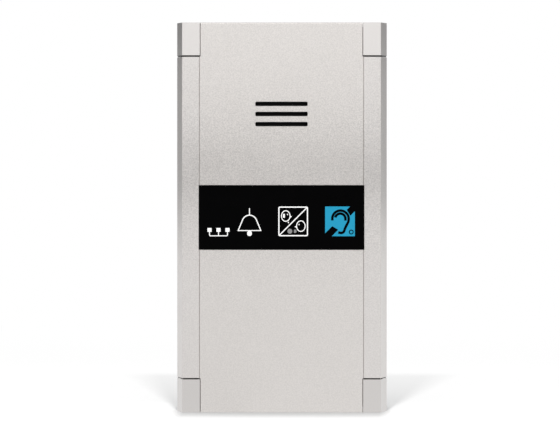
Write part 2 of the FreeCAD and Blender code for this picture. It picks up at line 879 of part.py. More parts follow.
def mode_switch_body():
    """Body of the mode switches, with one channel for each slider."""
    rear = board_rear_depth - switch_body_height
    body = block(switch_x, settings_z, switch_ways * switch_pitch + 2 * switch_end_margin,
                 switch_body_length, rear, board_rear_depth)
    channels = [block(x, settings_z, slider_width + 2 * slider_clearance,
                      slider_length + slider_travel + 2 * slider_clearance, rear - cut_past,
                      rear + slider_sunk + slider_clearance)
                for x in row(switch_ways, switch_pitch, switch_x)]
    return body.cut(channels)


def mode_switch_slider(index):
    """One slider. It rests at the lower end of its channel when off, at the upper end when on."""
    x = row(switch_ways, switch_pitch, switch_x)[index]
    rear = board_rear_depth - switch_body_height
    side = 1 if sliders_on[index] else -1
    return block(x, settings_z + side * slider_travel / 2, slider_width, slider_length,
                 rear - slider_proud, rear + slider_sunk)


def program_button_body():
    rear = board_rear_depth - button_body_height
    body = block(button_x, settings_z, button_body_size, button_body_size, rear, board_rear_depth)
    well = rod(button_radius + button_clearance, button_x, settings_z, rear - cut_past,
               rear + button_sunk + button_travel + button_clearance)
    return rounded(body, button_corner_radius).cut(well)


def program_button_plunger():
    rear = board_rear_depth - button_body_height
    return rod(button_radius, button_x, settings_z, rear - button_proud, rear + button_sunk)


def volume_trimmer_body():
    rear = board_rear_depth - trimmer_height
    body = block(trimmer_x, settings_z, trimmer_size, trimmer_size, rear, board_rear_depth)
    sunk = trimmer_rotor_thickness - trimmer_rotor_proud
    well = rod(trimmer_rotor_radius + trimmer_clearance, trimmer_x, settings_z, rear - cut_past,
               rear + sunk + trimmer_clearance)
    return rounded(body, button_corner_radius).cut(well)


def volume_trimmer_rotor():
    """Disc with a screwdriver slot and a wider pointer at its upper end."""
    rear = board_rear_depth - trimmer_height - trimmer_rotor_proud
    disc = rod(trimmer_rotor_radius, trimmer_x, settings_z, rear, rear + trimmer_rotor_thickness)
    slot = block(trimmer_x, settings_z, trimmer_slot_width, trimmer_slot_length, rear - cut_past,
                 rear + trimmer_slot_depth)
    pointer = slab(trimmer_x - trimmer_pointer_width / 2, trimmer_x + trimmer_pointer_width / 2,
                   rear - cut_past, rear + trimmer_pointer_depth,
                   settings_z + trimmer_slot_length / 2 - trimmer_pointer_length,
                   settings_z + trimmer_slot_length / 2)
    return disc.cut([slot, pointer])


def line_transformer():
    """Ferrite core round a bobbin that carries the pins."""
    rear = board_rear_depth - transformer_height
    core = block(transformer_x, transformer_z, transformer_width, transformer_length, rear,
                 board_rear_depth - transformer_core_lift)
    bobbin = block(transformer_x, transformer_z, transformer_bobbin_width, transformer_bobbin_length,
                   rear + transformer_core_lift, board_rear_depth)
    return core.fuse(bobbin).removeSplitter()


def line_relay():
    case = block(relay_x, relay_z, relay_width, relay_length, board_rear_depth - relay_height,
                 board_rear_depth)
    return rounded(case, relay_corner_radius)


def capacitors():
    """Upright cans on square bases."""
    cans = []
    for x, z in capacitor_places:
        base = block(x, z, capacitor_base, capacitor_base, board_rear_depth - capacitor_base_height,
                     board_rear_depth)
        can = rod(capacitor_radius, x, z, board_rear_depth - capacitor_height, board_rear_depth)
        cans.append(base.fuse(can).removeSplitter())
    return Part.makeCompound(cans)


def control_chips():
    return Part.makeCompound([
        block(x, z, width, length, board_rear_depth - height, board_rear_depth)
        for x, z, width, length, height in chip_places])


def lead_socket(z, mouth):
    """A small plug connector on the board. Its mouth faces up for +1 and down for -1."""
    rear = board_rear_depth - socket_height
    body = block(0, z, socket_width, socket_length, rear, board_rear_depth)
    low, high = sorted((z + mouth * (socket_length / 2 + cut_past),
                        z - mouth * (socket_length / 2 - socket_wall)))
    half = socket_width / 2 - socket_wall
    return body.cut(slab(-half, half, rear + socket_wall, board_rear_depth - socket_wall, low, high))


def lead_sockets():
    return Part.makeCompound([lead_socket(speaker_socket_z, 1), lead_socket(microphone_socket_z, -1)])


def racetrack(inset, depth0, depth1):
    """A rounded block that follows the induction loop's outline at an inset."""
    body = block(0, coil_z, coil_outer_width - 2 * inset, coil_outer_height - 2 * inset, depth0, depth1)
    return rounded(body, coil_corner_radius - inset)


def coil_former():
    """Plastic frame bonded behind the lower panel, with a channel round its edge."""
    back = panel_back_depth - coil_winding_height - 2 * coil_flange
    body = racetrack(coil_winding_width, back, panel_back_depth)
    for start in (back, panel_back_depth - coil_flange):
        body = body.fuse(racetrack(0, start, start + coil_flange))
    opening = racetrack(coil_winding_width + coil_bar_width, 0, front_depth)
    return body.cut(opening).removeSplitter()


def loop_coil():
    """The winding of the induction loop, in the former's channel."""
    back = panel_back_depth - coil_flange - coil_winding_height
    winding = racetrack(coil_wire_sink, back, back + coil_winding_height)
    return winding.cut(racetrack(coil_winding_width, 0, front_depth))


def microphone_rod(radius, start, end):
    """A round bar on the microphone's axis, between two distances above the lower end flange."""
    return upright_rod(radius, 0, end_screw_depth, start - chassis_half_height, end - chassis_half_height)


def microphone_boot():
    """Rubber cup that seals the microphone on its port."""
    body = microphone_rod(boot_radius, 0, boot_height)
    body = body.cut(microphone_rod(capsule_radius, boot_floor, boot_height + cut_past))
    return body.cut(microphone_rod(boot_port_radius, -cut_past, boot_floor + cut_past))


def microphone_capsule():
    return microphone_rod(capsule_radius, boot_floor, boot_floor + capsule_height)


def speaker_leads():
    """Two wires from the solder tags over the top of the board to their socket."""
    start_depth = rim_back_depth - rim_thickness - tag_thickness
    end_depth = board_rear_depth - socket_height / 2
    z = tag_strip_bottom - tag_overhang + tag_joint_height
    tip = speaker_socket_z + socket_length / 2 - lead_plug_reach
    return Part.makeCompound([
        lead([(x, start_depth, z), (x, end_depth, z), (x, end_depth, tip)], lead_radius)
        for x in (-tag_spacing / 2, tag_spacing / 2)])


def microphone_leads():
    """Two wires from the capsule to their socket."""
    end_depth = board_rear_depth - socket_height / 2
    start = boot_floor + capsule_height - chassis_half_height
    tip = microphone_socket_z - socket_length / 2 + lead_plug_reach
    rise = (tip - start) / 3
    return Part.makeCompound([
        lead([(x, end_screw_depth, start), (x, end_screw_depth, start + rise),
              (x, end_depth, start + 2 * rise), (x, end_depth, tip)], lead_radius)
        for x in (-microphone_lead_spacing / 2, microphone_lead_spacing / 2)])


def coil_leads():
    """Two fine wires from the winding to the front of the board."""
    depth = panel_back_depth - coil_flange - coil_winding_height / 2
    start = coil_z + coil_outer_height / 2 - coil_wire_sink
    turn = start + coil_lead_rise
    return Part.makeCompound([
        lead([(x, depth, start), (x, depth, turn), (x, board_front_depth, turn)], coil_lead_radius)
        for x in coil_lead_xs])


def countersunk_screw(length):
    """A countersunk screw along -Z, whose flat head lies just below the origin."""
    head_radius = countersink_radius - countersunk_head_sink - countersink_clearance
    head = Part.makeCone(head_radius, screw_radius, head_radius - screw_radius, Vector(0, 0, 0),
                         Vector(0, 0, -1))
    shank = Part.makeCylinder(screw_radius, length, Vector(0, 0, 0), Vector(0, 0, -1))
    bars = [Part.makeBox(a, b, recess_depth, Vector(-a / 2, -b / 2, -recess_depth))
            for a, b in ((recess_length, recess_width), (recess_width, recess_length))]
    screw = head.fuse(shank).cut(bars).removeSplitter()
    return screw.translated(Vector(0, 0, -countersunk_head_sink))


def rail_screws():
    """Screws from the back through the chassis into the rails."""
    screws = []
    length = sheet_thickness + rail_flange_thickness - screw_tip_gap
    for side, end in corners():
        screw = countersunk_screw(length)
        screw.rotate(Vector(0, 0, 0), Vector(1, 0, 0), -90)
        screws.append(screw.translated(Vector(side * rail_screw_x, 0, end * rail_screw_height)))
    return Part.makeCompound(screws)


def end_screws():
    """Screws through the ends of the panels into the chassis flanges."""
    screws = []
    for side in (-1, 1):
        screw = countersunk_screw(panel_thickness + sheet_thickness + end_screw_tip)
        screw.translate(Vector(side * end_screw_x, -end_screw_depth, half_height))
        screws += [screw, mirrored_z(screw)]
    return Part.makeCompound(screws)


def corner_cap():
    """The cap at the top right: a shell open at the back, with two split prongs."""
    inner_wall_x = cap_inner_x + cap_inner_wall
    back_of_front = front_depth - cap_front_wall
    shell = prism([(half_width, cap_lift_clearance), (half_width, foot_height),
                   (skin_x(front_depth), front_depth), (cap_inner_x, front_depth),
                   (cap_inner_x, cap_lift_clearance)], cap_foot_z, half_height)
    plain_edges = [e for e in front_edges(shell) if e.BoundBox.XMax < skin_x(front_depth) - tiny
                   or e.BoundBox.XLength > tiny]
    shell = round_leaning_edge(shell.makeChamfer(panel_edge_break, plain_edges))
    hollow = prism([(half_width - cap_side_wall, 0), (half_width - cap_side_wall, foot_height),
                    (skin_x(back_of_front) - cap_side_wall, back_of_front),
                    (inner_wall_x, back_of_front), (inner_wall_x, 0)],
                   cap_foot_z + cap_inner_wall, half_height - cap_end_wall)
    over_base = slab(cap_inner_x - cut_past, chassis_half_width + chassis_side_clearance / 2,
                     0, sheet_thickness + cap_lift_clearance, cap_foot_z - cut_past,
                     (chassis_half_height + half_height - cap_end_wall) / 2)
    added = [cap_rib()] + [prong(x, z) for x, z in prong_places]
    return shell.cut([hollow, over_base]).fuse(added).removeSplitter()


def cap_rib():
    """A rib under the skin of the cap's foot, which keeps light out of the seam to the rail."""
    outside = [(half_width, cap_lift_clearance), (half_width, foot_height),
               (skin_x(cap_rib_front_depth), cap_rib_front_depth)]
    outline = [(x - cap_rib_set_back, depth) for x, depth in outside]
    outline += [(x - cap_rib_thickness, depth) for x, depth in reversed(outline)]
    return prism(outline, cap_foot_z - cap_rib_height, cap_foot_z + cap_inner_wall / 2)


def prong(x, z):
    """A round prong, split from its tip so that it springs into its hole."""
    bar = rod(prong_radius, x, z, prong_tip_gap, front_depth - cap_front_wall / 2)
    return bar.cut(block(x, z, prong_slit, 3 * prong_radius, 0, prong_slit_depth))


def all_parts():
    """Every piece by its node name."""
    rail = right_rail()
    cap = corner_cap()
    parts = {
        "chassis": chassis(),
        "rail_right": rail,
        "rail_left": mirrored_x(rail),
        "upper_panel": upper_panel(),
        "lower_panel": lower_panel(),
        "pictogram_window": pictogram_window(),
        "pictogram_film": pictogram_film(),
        "light_box": light_box(),
        "pictogram_leds": pictogram_leds(),
        "slot_cloth": slot_cloth(),
        "speaker_gasket": speaker_gasket(),
        "speaker_basket": speaker_basket(),
        "speaker_top_plate": speaker_top_plate(),
        "speaker_magnet": speaker_magnet(),
        "speaker_yoke": speaker_yoke(),
        "speaker_cone": speaker_cone(),
        "speaker_dust_cap": speaker_dust_cap(),
        "voice_coil": voice_coil(),
        "speaker_surround": speaker_surround(),
        "speaker_spider": speaker_spider(),
        "speaker_tag_strip": speaker_tag_strip(),
        "speaker_tags": speaker_tags(),
        "speaker_bosses": speaker_bosses(),
        "speaker_clamps": speaker_clamps(),
        "speaker_clamp_screws": speaker_clamp_screws(),
        "main_board": main_board(),
        "board_standoffs": board_standoffs(),
        "board_screws": board_screws(),
        "terminal_block": terminal_block(),
        "terminal_screws": terminal_screws(),
        "mode_switch_body": mode_switch_body(),
        "program_button_body": program_button_body(),
        "program_button_plunger": program_button_plunger(),
        "volume_trimmer_body": volume_trimmer_body(),
        "volume_trimmer_rotor": volume_trimmer_rotor(),
        "line_transformer": line_transformer(),
        "line_relay": line_relay(),
        "capacitors": capacitors(),
        "control_chips": control_chips(),
        "lead_sockets": lead_sockets(),
        "coil_former": coil_former(),
        "loop_coil": loop_coil(),
        "microphone_boot": microphone_boot(),
        "microphone_capsule": microphone_capsule(),
        "speaker_leads": speaker_leads(),
        "microphone_leads": microphone_leads(),
        "coil_leads": coil_leads(),
        "rail_screws": rail_screws(),
        "end_screws": end_screws(),
        "corner_cap_top_right": cap,
        "corner_cap_top_left": mirrored_x(cap),
        "corner_cap_bottom_right": mirrored_z(cap),
        "corner_cap_bottom_left": mirrored_x(mirrored_z(cap)),
    }
    for index in range(switch_ways):
        parts[f"mode_switch_slider_{index + 1}"] = mode_switch_slider(index)
    return parts


os.makedirs("parts", exist_ok=True)
for node, shape in all_parts().items():
    if not shape.isValid() or not shape.Solids:
        raise ValueError(f"{node} is not a valid solid")
    shape.exportStep(f"parts/{node}.step")
    print(f"{node}: {len(shape.Solids)} solid(s), {shape.Volume:.1f} cubic millimetres")
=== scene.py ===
"""Looks of a wall-mounted elevator emergency intercom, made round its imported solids.

Every solid keeps its shape and gets a finish. The printed signs on the window, the cloth behind
the sound slots and the small detail on the circuit board are modelled here. X runs to the right
seen from the front, Z is up, the front faces -Y and the wall is at Y = 0. Lengths are in metres
unless a comment gives millimetres, and MM turns the second into the first.
"""

import json
import math

import bpy
from bpy.props import FloatProperty, FloatVectorProperty, IntProperty, PointerProperty
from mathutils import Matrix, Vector


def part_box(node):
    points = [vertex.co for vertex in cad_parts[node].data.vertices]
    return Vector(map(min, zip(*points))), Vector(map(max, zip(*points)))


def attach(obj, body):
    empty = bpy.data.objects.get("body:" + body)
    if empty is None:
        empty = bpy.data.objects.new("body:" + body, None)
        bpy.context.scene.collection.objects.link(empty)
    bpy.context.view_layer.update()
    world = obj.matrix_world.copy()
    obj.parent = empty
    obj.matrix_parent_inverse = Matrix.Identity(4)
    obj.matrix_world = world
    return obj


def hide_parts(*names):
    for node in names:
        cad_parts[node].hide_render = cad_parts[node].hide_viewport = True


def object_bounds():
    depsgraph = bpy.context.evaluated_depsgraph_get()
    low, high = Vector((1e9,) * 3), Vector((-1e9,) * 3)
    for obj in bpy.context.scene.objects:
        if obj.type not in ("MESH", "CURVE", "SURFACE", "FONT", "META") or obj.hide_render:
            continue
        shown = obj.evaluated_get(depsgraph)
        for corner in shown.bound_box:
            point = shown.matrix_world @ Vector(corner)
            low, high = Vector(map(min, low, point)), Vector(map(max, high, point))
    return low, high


bl_info = {
    "name": "Elevator Intercom",
    "version": (1, 0, 0),
    "blender": (4, 5, 0),
    "location": "View3D > Sidebar > Intercom",
    "description": "Finishes, signs, board detail and studio for an elevator emergency intercom",
    "category": "Object",
}

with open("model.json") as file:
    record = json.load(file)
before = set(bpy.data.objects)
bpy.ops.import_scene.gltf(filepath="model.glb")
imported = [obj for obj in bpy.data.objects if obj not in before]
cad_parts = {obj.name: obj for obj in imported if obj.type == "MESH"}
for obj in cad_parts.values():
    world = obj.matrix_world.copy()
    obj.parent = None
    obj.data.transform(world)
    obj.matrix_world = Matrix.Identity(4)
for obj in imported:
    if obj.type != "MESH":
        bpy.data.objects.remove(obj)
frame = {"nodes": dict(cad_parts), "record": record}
cad_low, cad_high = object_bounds()

MM = 0.001
IMAGE_WIDTH = 560
PIXELS_PER_METRE_AT_FRONT = 1 / 0.00047436

WINDOW_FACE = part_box("pictogram_window")[0].y
BOARD_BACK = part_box("main_board")[1].y
FLOOR_GAP = 0.02 * MM
FLOOR_HEIGHT = cad_low.z - FLOOR_GAP
# The caps' foot rib, where their painted seam shade lies
CAP_RIB_HEIGHT = 0.4 * MM
CAP_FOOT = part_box("corner_cap_top_right")[0].z + CAP_RIB_HEIGHT


def length(name, description, default):
    """A size property that a user sees in scene units."""
    return FloatProperty(name=name, description=description, default=default, precision=5,
                         subtype="DISTANCE", unit="LENGTH")


def amount(name, description, default):
    """A plain number, from nothing upwards."""
    return FloatProperty(name=name, description=description, default=default, min=0)


def colour(name, description, default):
    """A colour property, linear red, green and blue."""
    return FloatVectorProperty(name=name, description=description, default=default, size=3,
                               subtype="COLOR", min=0.0, max=1.0)


class IntercomColours(bpy.types.PropertyGroup):
    """Colours of the parts that show from outside."""

    panel: colour("Panels", "Blasted aluminium of the two panels", (0.69, 0.662, 0.640))
    rail: colour("Rails", "Blasted aluminium of the side rails", (0.69, 0.664, 0.646))
    cap: colour("Caps", "Silver lacquer of the corner caps", (0.69, 0.666, 0.650))
    window: colour("Window", "Black of the pictogram window", (0.0005, 0.0005, 0.0006))
    sign_white: colour("White ink", "White of the printed signs", (0.93, 0.93, 0.92))
    sign_blue: colour("Blue ink", "Blue of the hearing loop sign", (0.004, 0.278, 0.46))
    sign_grey: colour("Grey ink", "Grey of the two speech lamps", (0.235, 0.235, 0.235))
    board: colour("Board", "Solder mask of the circuit board", (0.006, 0.13, 0.04))
    terminals: colour("Terminals", "Moulding of the terminal block", (0.025, 0.24, 0.09))


class IntercomSigns(bpy.types.PropertyGroup):
    """Sizes of the printed signs on the window."""

    ink_rise: length("Ink rise", "How far the ink stands proud of the window", 0.05 * MM)
    fine_line: length("Fine line", "Line of the network sign and the faces", 0.43 * MM)
    bell_line: length("Bell line", "Line of the bell", 0.5 * MM)
    frame_line: length("Frame line", "Line of the frame round the two heads", 0.54 * MM)
    ear_line: length("Ear line", "Line of the ear", 1.2 * MM)
    arc_steps: IntProperty(name="Arc steps", description="Steps in a full turn of a drawn arc",
                           default=64, min=16, max=128)


class IntercomStudio(bpy.types.PropertyGroup):
    """The camera, the lamps, the flags and the floor."""

    camera_distance: length("Camera distance", "From the camera to the front face", 2.6)
    camera_side: length("Camera side step", "Camera to the right of the middle", 0.036)
    aim_x: length("Aim across", "Where the camera aims, right of the middle", -0.0007)
    aim_z: length("Aim height", "Where the camera aims, above the middle", 0.00071)
    camera_rise: length("Camera rise", "Camera above the point it aims at", 0.03)
    key_height: length("Key height", "Both lamps above the floor", 0.45)
    key_distance: length("Key distance", "Both lamps in front of the object", 0.6)
    key_size: length("Key size", "Side of the lamp that casts the shadow", 0.03)
    key_power: amount("Key power", "Shadow lamp in watts", 2.3)
    sheen_size: length("Sheen size", "Side of the lamp that brightens the top", 0.26)
    sheen_power: amount("Sheen power", "Sheen lamp in watts", 0.42)
    fill_level: amount("Fill", "Strength of the even light", 0.62)
    flag_distance: length("Flag distance", "Dark flag in front of the object", 0.08)
    flag_height: length("Flag height", "Middle of the dark flag, from the middle", 0.021)
    flag_width: length("Flag width", "Upright size of the dark flag", 0.012)
    side_flag_reach: length("Side flag distance", "Grey flags out from the sides", 0.14)
    side_flag_foot: length("Side flag foot", "Lower edge of the side flags", -0.005)
    upper_flag_foot: length("Upper flag foot", "Lower edge of the upper side flags", 0.081)
    floor_size: length("Floor size", "Side of the floor", 12.0)


# Working with selections


def rest():
    """Leaves edit mode with nothing selected."""
    if bpy.context.mode != "OBJECT":
        bpy.ops.object.mode_set(mode="OBJECT")
    bpy.ops.object.select_all(action="DESELECT")


def pick(*pieces):
    """Selects these objects and makes the first one active."""
    rest()
    for piece in pieces:
        piece.select_set(True)
    bpy.context.view_layer.objects.active = pieces[0]


def rename(piece, name):
    """Gives an object and its mesh the same name."""
    piece.name = name
    piece.data.name = name
    return piece


def settle(name):
    """Names the active object and puts its place into its mesh."""
    bpy.ops.object.transform_apply()
    return rename(bpy.context.active_object, name)


def shift(piece, way, turn=0.0):
    """Turns a piece about the axis square to the wall and moves it, all within its mesh."""
    pick(piece)
    piece.rotation_euler.y = turn
    piece.location = way
    bpy.ops.object.transform_apply()
    return piece


def edit(piece, chosen=lambda face: True):
    """Enters edit mode with those faces selected that pass a test, or with all of them."""
    pick(piece)
    for vertex in piece.data.vertices:
        vertex.select = False
    for edge in piece.data.edges:
        edge.select = False
    for face in piece.data.polygons:
        face.select = chosen(face)
    bpy.ops.object.mode_set(mode="EDIT")
    bpy.ops.mesh.select_mode(type="FACE")


def tidy(piece):
    """Merges doubles and turns every face outwards."""
    pick(piece)
    bpy.ops.object.mode_set(mode="EDIT")
    bpy.ops.mesh.select_all(action="SELECT")
    bpy.ops.mesh.remove_doubles(threshold=1e-7)
    bpy.ops.mesh.normals_make_consistent(inside=False)
    rest()
    return piece


def push(way):
    """Extrudes what is selected by a vector."""
    bpy.ops.mesh.extrude_region_move(TRANSFORM_OT_translate={"value": way})


def join(name, pieces):
    """Joins pieces into one object."""
    pick(*pieces)
    bpy.ops.object.join()
    rest()
    return rename(bpy.context.active_object, name)


def modify(piece, kind, **settings):
    """Applies a modifier with these settings to a piece."""
    pick(piece)
    bpy.ops.object.modifier_add(type=kind)
    modifier = piece.modifiers[-1]
    for name, value in settings.items():
        setattr(modifier, name, value)
    bpy.ops.object.modifier_apply(modifier=modifier.name)


def unite(base, others):
    """Melts other closed pieces into the first one."""
    for other in others:
        modify(base, "BOOLEAN", operation="UNION", solver="EXACT", object=other)
        bpy.data.objects.remove(other)
    return base


def finish_of(slot):
    """The finish worn by the solids that the record gives a material slot."""
    part = next(part for part in frame["record"]["subparts"] if part["material_slot"] == slot)
    return frame["nodes"][part["node"]].active_material


def finish_piece(piece, slot, material=None):
    """Fixes a new piece to the housing, in its own material or in the slot's finish."""
    piece.data.materials.clear()
    piece.data.materials.append(material or finish_of(slot))
    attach(piece, "housing")


# Printing. Places and sizes are in millimetres, and lines and lifts in metres.

INK_RISE_OVER_SINK = 5
BLOCK_CORNER_STEPS = 4
FRAME_CORNER_STEPS = 6
FEWEST_ARC_STEPS = 2
NUMBER_HEIGHT = 1.9
NUMBER_CURVE_STEPS = 3


class Ground:
    """A flat face that takes ink, square to Y and facing out, -1 to the front or 1 to the back."""

    def __init__(self, face, out, rise, steps):
        self.out = out
        self.rise = rise
        self.steps = steps
        self.sink = rise / INK_RISE_OVER_SINK
        self.start = face - out * self.sink

    def raised(self, lift=0.0):
        """From where the ink starts, inside the ground, to its top."""
        return (0, self.out * (self.rise + self.sink + lift), 0)


def ahead(heading):
    """One metre ahead, for a heading in degrees clockwise from straight up seen from the front."""
    angle = math.radians(heading)
    return Vector((math.sin(angle), 0.0, math.cos(angle)))


def printed_line(name, x, z, heading, path, width, ground, lift=0.0):
    """A line of ink that starts at x and z and follows a path.

    Each step of the path is a length and 0 for a straight run, or a radius and an angle in
    degrees for an arc, to the right where the angle is positive.
    """
    spot = Vector((x, 0.0, z)) * MM
    depth = ground.raised(lift)[1]
    bpy.ops.mesh.primitive_plane_add(size=1, location=(spot.x, ground.start + depth / 2, spot.z),
                                     rotation=(0, math.radians(heading), 0))
    bpy.context.active_object.scale = (width, abs(depth), 1)
    piece = settle(name)
    edit(piece)
    for reach, degrees in path:
        if not degrees:
            way = ahead(heading) * reach * MM
            push(way)
            spot += way
            continue
        side = math.copysign(90, degrees)
        centre = spot + ahead(heading + side) * reach * MM
        steps = max(FEWEST_ARC_STEPS, round(abs(degrees) / 360 * ground.steps))
        bpy.ops.mesh.spin(steps=steps, angle=-math.radians(degrees), axis=(0, 1, 0),
                          center=(centre.x, ground.start, centre.z))
        heading += degrees
        spot = centre - ahead(heading + side) * reach * MM
    return tidy(piece)


def flat_shape(name, x, z, ground):
    """Stands the new flat primitive upright where the ink starts, facing out."""
    piece = bpy.context.active_object
    piece.rotation_euler = (math.radians(90), 0, 0 if ground.out < 0 else math.pi)
    piece.location = (x * MM, ground.start, z * MM)
    return settle(name)


def raise_ink(piece, ground, lift=0.0):
    """Gives a flat print its thickness."""
    edit(piece)
    push(ground.raised(lift))
    return tidy(piece)


def flat_print(name, x, z, size, ground, corner=0.0, line=0.0, lift=0.0):
    """Makes ink of the new flat primitive, with its corners rounded; a line leaves only a rim."""
    bpy.context.active_object.scale = (size[0] * MM, size[1] * MM, 1)
    piece = flat_shape(name, x, z, ground)
    edit(piece)
    if corner:
        steps = FRAME_CORNER_STEPS if line else BLOCK_CORNER_STEPS
        bpy.ops.mesh.bevel(offset=corner * MM, segments=steps, affect="VERTICES")
    if line:
        bpy.ops.mesh.inset(thickness=line)
        bpy.ops.mesh.delete(type="FACE")
    return raise_ink(piece, ground, lift)


def printed_block(name, x, z, size, corner, ground, line=0.0):
    """A block of ink with rounded corners, or its frame, measured outside."""
    bpy.ops.mesh.primitive_plane_add(size=1)
    return flat_print(name, x, z, size, ground, corner, line)


def printed_oval(name, x, z, radii, ground, line=0.0, lift=0.0):
    """A round spot of ink, or its outline, measured outside."""
    vertices = ground.steps if line else ground.steps // 2
    bpy.ops.mesh.primitive_circle_add(vertices=vertices, radius=1, fill_type="NGON")
    return flat_print(name, x, z, radii, ground, line=line, lift=lift)


def printed_number(number, x, z, ground):
    """A number, which starts inside the ground like the other prints."""
    bpy.ops.object.text_add()
    words = bpy.context.active_object.data
    words.body = str(number)
    words.size = NUMBER_HEIGHT * MM
    words.align_x = "CENTER"
    words.align_y = "CENTER"
    words.extrude = (ground.rise + ground.sink) / 2
    words.resolution_u = NUMBER_CURVE_STEPS
    bpy.ops.object.convert(target="MESH")
    piece = flat_shape("legend_number", x, z, ground)
    return tidy(shift(piece, (0, ground.raised()[1] / 2, 0)))


# The signs, in millimetres and degrees

NETWORK_SQUARES = (-34.15, -29.90, -25.63)
NETWORK_SQUARE_SIZE = (1.98, 1.83)
NETWORK_SQUARE_CORNER = 0.2
NETWORK_SQUARE_HEIGHT = -5.9
NETWORK_LINE_HEIGHT = -8.7
NETWORK_BEND = 0.45

BELL_X = -15.18
BELL_FOOT_HEIGHT = -6.0
BELL_FOOT_HALF = 5.3
BELL_FLANK_LEAN = 22.5
BELL_FLANK_LENGTH = 5.32
BELL_BASE_HALF = 5.65
BELL_BASE_HEIGHT = -6.22
BELL_STEM_TOP = 4.38
BELL_STEM_LENGTH = 3.35
BELL_CLAPPER_SIZE = (2.2, 2.45)
BELL_CLAPPER_CORNER = 1.0
BELL_CLAPPER_HEIGHT = -7.55

VOICE_SIGN_X = 5.55
VOICE_SIGN_Z = -1.85
VOICE_SIGN_SIZE = 13.55
VOICE_SIGN_CORNER = 0.8
# Each head's middle, and the side it looks to
HEADS = ((2.03, 0.7, 1), (9.2, -4.1, -1))
HEAD_RADII = (2.25, 2.72)
HEAD_EAR_PLACE = (1.18, 0.8)
HEAD_EAR_SIZE = (0.85, 2.0)
HEAD_EAR_CORNER = 0.4
NOSE_SIZE = 0.75
NOSE_DROP = 0.3
EYE_STEP = 0.85
EYE_RISE = 0.75
EYE_RADII = (0.28, 0.28)
SPOKEN_DOT = (3.28, -2.36, (0.3, 0.3))
SPEECH_DISC = (3.98, -6.5, (1.15, 1.15))
SPEECH_WEDGE = (6.36, -6.55, (0.8, 0.8))
SPEECH_WEDGE_CUT = 0.36

LOOP_SIGN_X = 27.75
LOOP_SIGN_Z = -1.83
LOOP_SIGN_SIZE = 14.1
# Each bar's two edges, then the way it points and how far it goes
LOOP_BARS = ((28.2, 32.75, Vector((0.516, 0, 0.856)), 8.92),
             (27.3, 31.85, Vector((-0.852, 0, -0.524)), -28.28))
EAR_LIFT = 0.03
EAR_OUTER = (24.1, -1.4, 0, ((0.8, 0), (3.89, 180), (0.35, 0), (3.2, 27), (2.6, 0), (6, -14),
                             (1.6, 88), (1.1, 0)))
EAR_INNER = (25.53, 0.0, 14, ((2.44, 166), (0.9, 0)))
EAR_LOOP = (33.1, -6.9, (1.15, 1.15))
EAR_LOOP_LINE = 0.45


def network_sign(signs, ground):
    """Three squares on a common line: the call is being connected."""
    drop = NETWORK_SQUARE_HEIGHT - NETWORK_LINE_HEIGHT - NETWORK_BEND
    across = NETWORK_SQUARES[-1] - NETWORK_SQUARES[0] - 2 * NETWORK_BEND
    bend = (NETWORK_BEND, -90)
    base = printed_line("network_line", NETWORK_SQUARES[0], NETWORK_SQUARE_HEIGHT, 180,
                        ((drop, 0), bend, (across, 0), bend, (drop, 0)), signs.fine_line, ground)
    stem = printed_line("network_stem", NETWORK_SQUARES[1], NETWORK_SQUARE_HEIGHT, 180,
                        ((drop + NETWORK_BEND, 0),), signs.fine_line, ground)
    squares = [printed_block("network_square", x, NETWORK_SQUARE_HEIGHT, NETWORK_SQUARE_SIZE,
                             NETWORK_SQUARE_CORNER, ground) for x in NETWORK_SQUARES]
    return unite(base, [stem] + squares)


def bell_sign(signs, ground):
    """A hand bell: the alarm has been given."""
    lean = math.radians(BELL_FLANK_LEAN)
    crown = (BELL_FOOT_HALF - BELL_FLANK_LENGTH * math.sin(lean)) / math.cos(lean)
    flank = (BELL_FLANK_LENGTH, 0)
    base = printed_line("bell_outline", BELL_X - BELL_FOOT_HALF, BELL_FOOT_HEIGHT, BELL_FLANK_LEAN,
                        (flank, (crown, 180 - 2 * BELL_FLANK_LEAN), flank), signs.bell_line, ground)
    foot = printed_line("bell_foot", BELL_X - BELL_BASE_HALF, BELL_BASE_HEIGHT, 90,
                        ((2 * BELL_BASE_HALF, 0),), signs.fine_line, ground)
    stem = printed_line("bell_stem", BELL_X, BELL_STEM_TOP, 180, ((BELL_STEM_LENGTH, 0),),
                        signs.fine_line, ground)
    clapper = printed_block("bell_clapper", BELL_X, BELL_CLAPPER_HEIGHT, BELL_CLAPPER_SIZE,
                            BELL_CLAPPER_CORNER, ground)
    return unite(base, [foot, stem, clapper])


def nose(x, z, side, ground):
    """A small pointed nose, to the right for +1."""
    bpy.ops.mesh.primitive_circle_add(vertices=3, radius=NOSE_SIZE * MM, fill_type="NGON")
    piece = flat_shape("nose", 0, 0, ground)
    return raise_ink(shift(piece, (x * MM, 0, z * MM), math.radians(90 * side)), ground)


def voice_sign(signs, ground):
    """Two heads speaking across a line: the line is open."""
    size = VOICE_SIGN_SIZE + signs.frame_line / MM
    base = printed_block("voice_frame", VOICE_SIGN_X, VOICE_SIGN_Z, (size, size),
                         VOICE_SIGN_CORNER, ground, signs.frame_line)
    half = VOICE_SIGN_SIZE / 2
    parts = [printed_line("voice_line", VOICE_SIGN_X - half, VOICE_SIGN_Z - half, 45,
                          ((VOICE_SIGN_SIZE * math.sqrt(2), 0),), signs.bell_line, ground)]
    for x, z, side in HEADS:
        parts.append(printed_oval("head", x, z, HEAD_RADII, ground, signs.fine_line))
        parts.append(nose(x + side * HEAD_RADII[0], z - NOSE_DROP, side, ground))
        parts.append(printed_oval("eye", x + side * EYE_STEP, z + EYE_RISE, EYE_RADII, ground))
    parts.append(printed_block("ear", *HEAD_EAR_PLACE, HEAD_EAR_SIZE, HEAD_EAR_CORNER, ground))
    parts.append(printed_oval("spoken_dot", *SPOKEN_DOT, ground))
    return unite(base, parts)


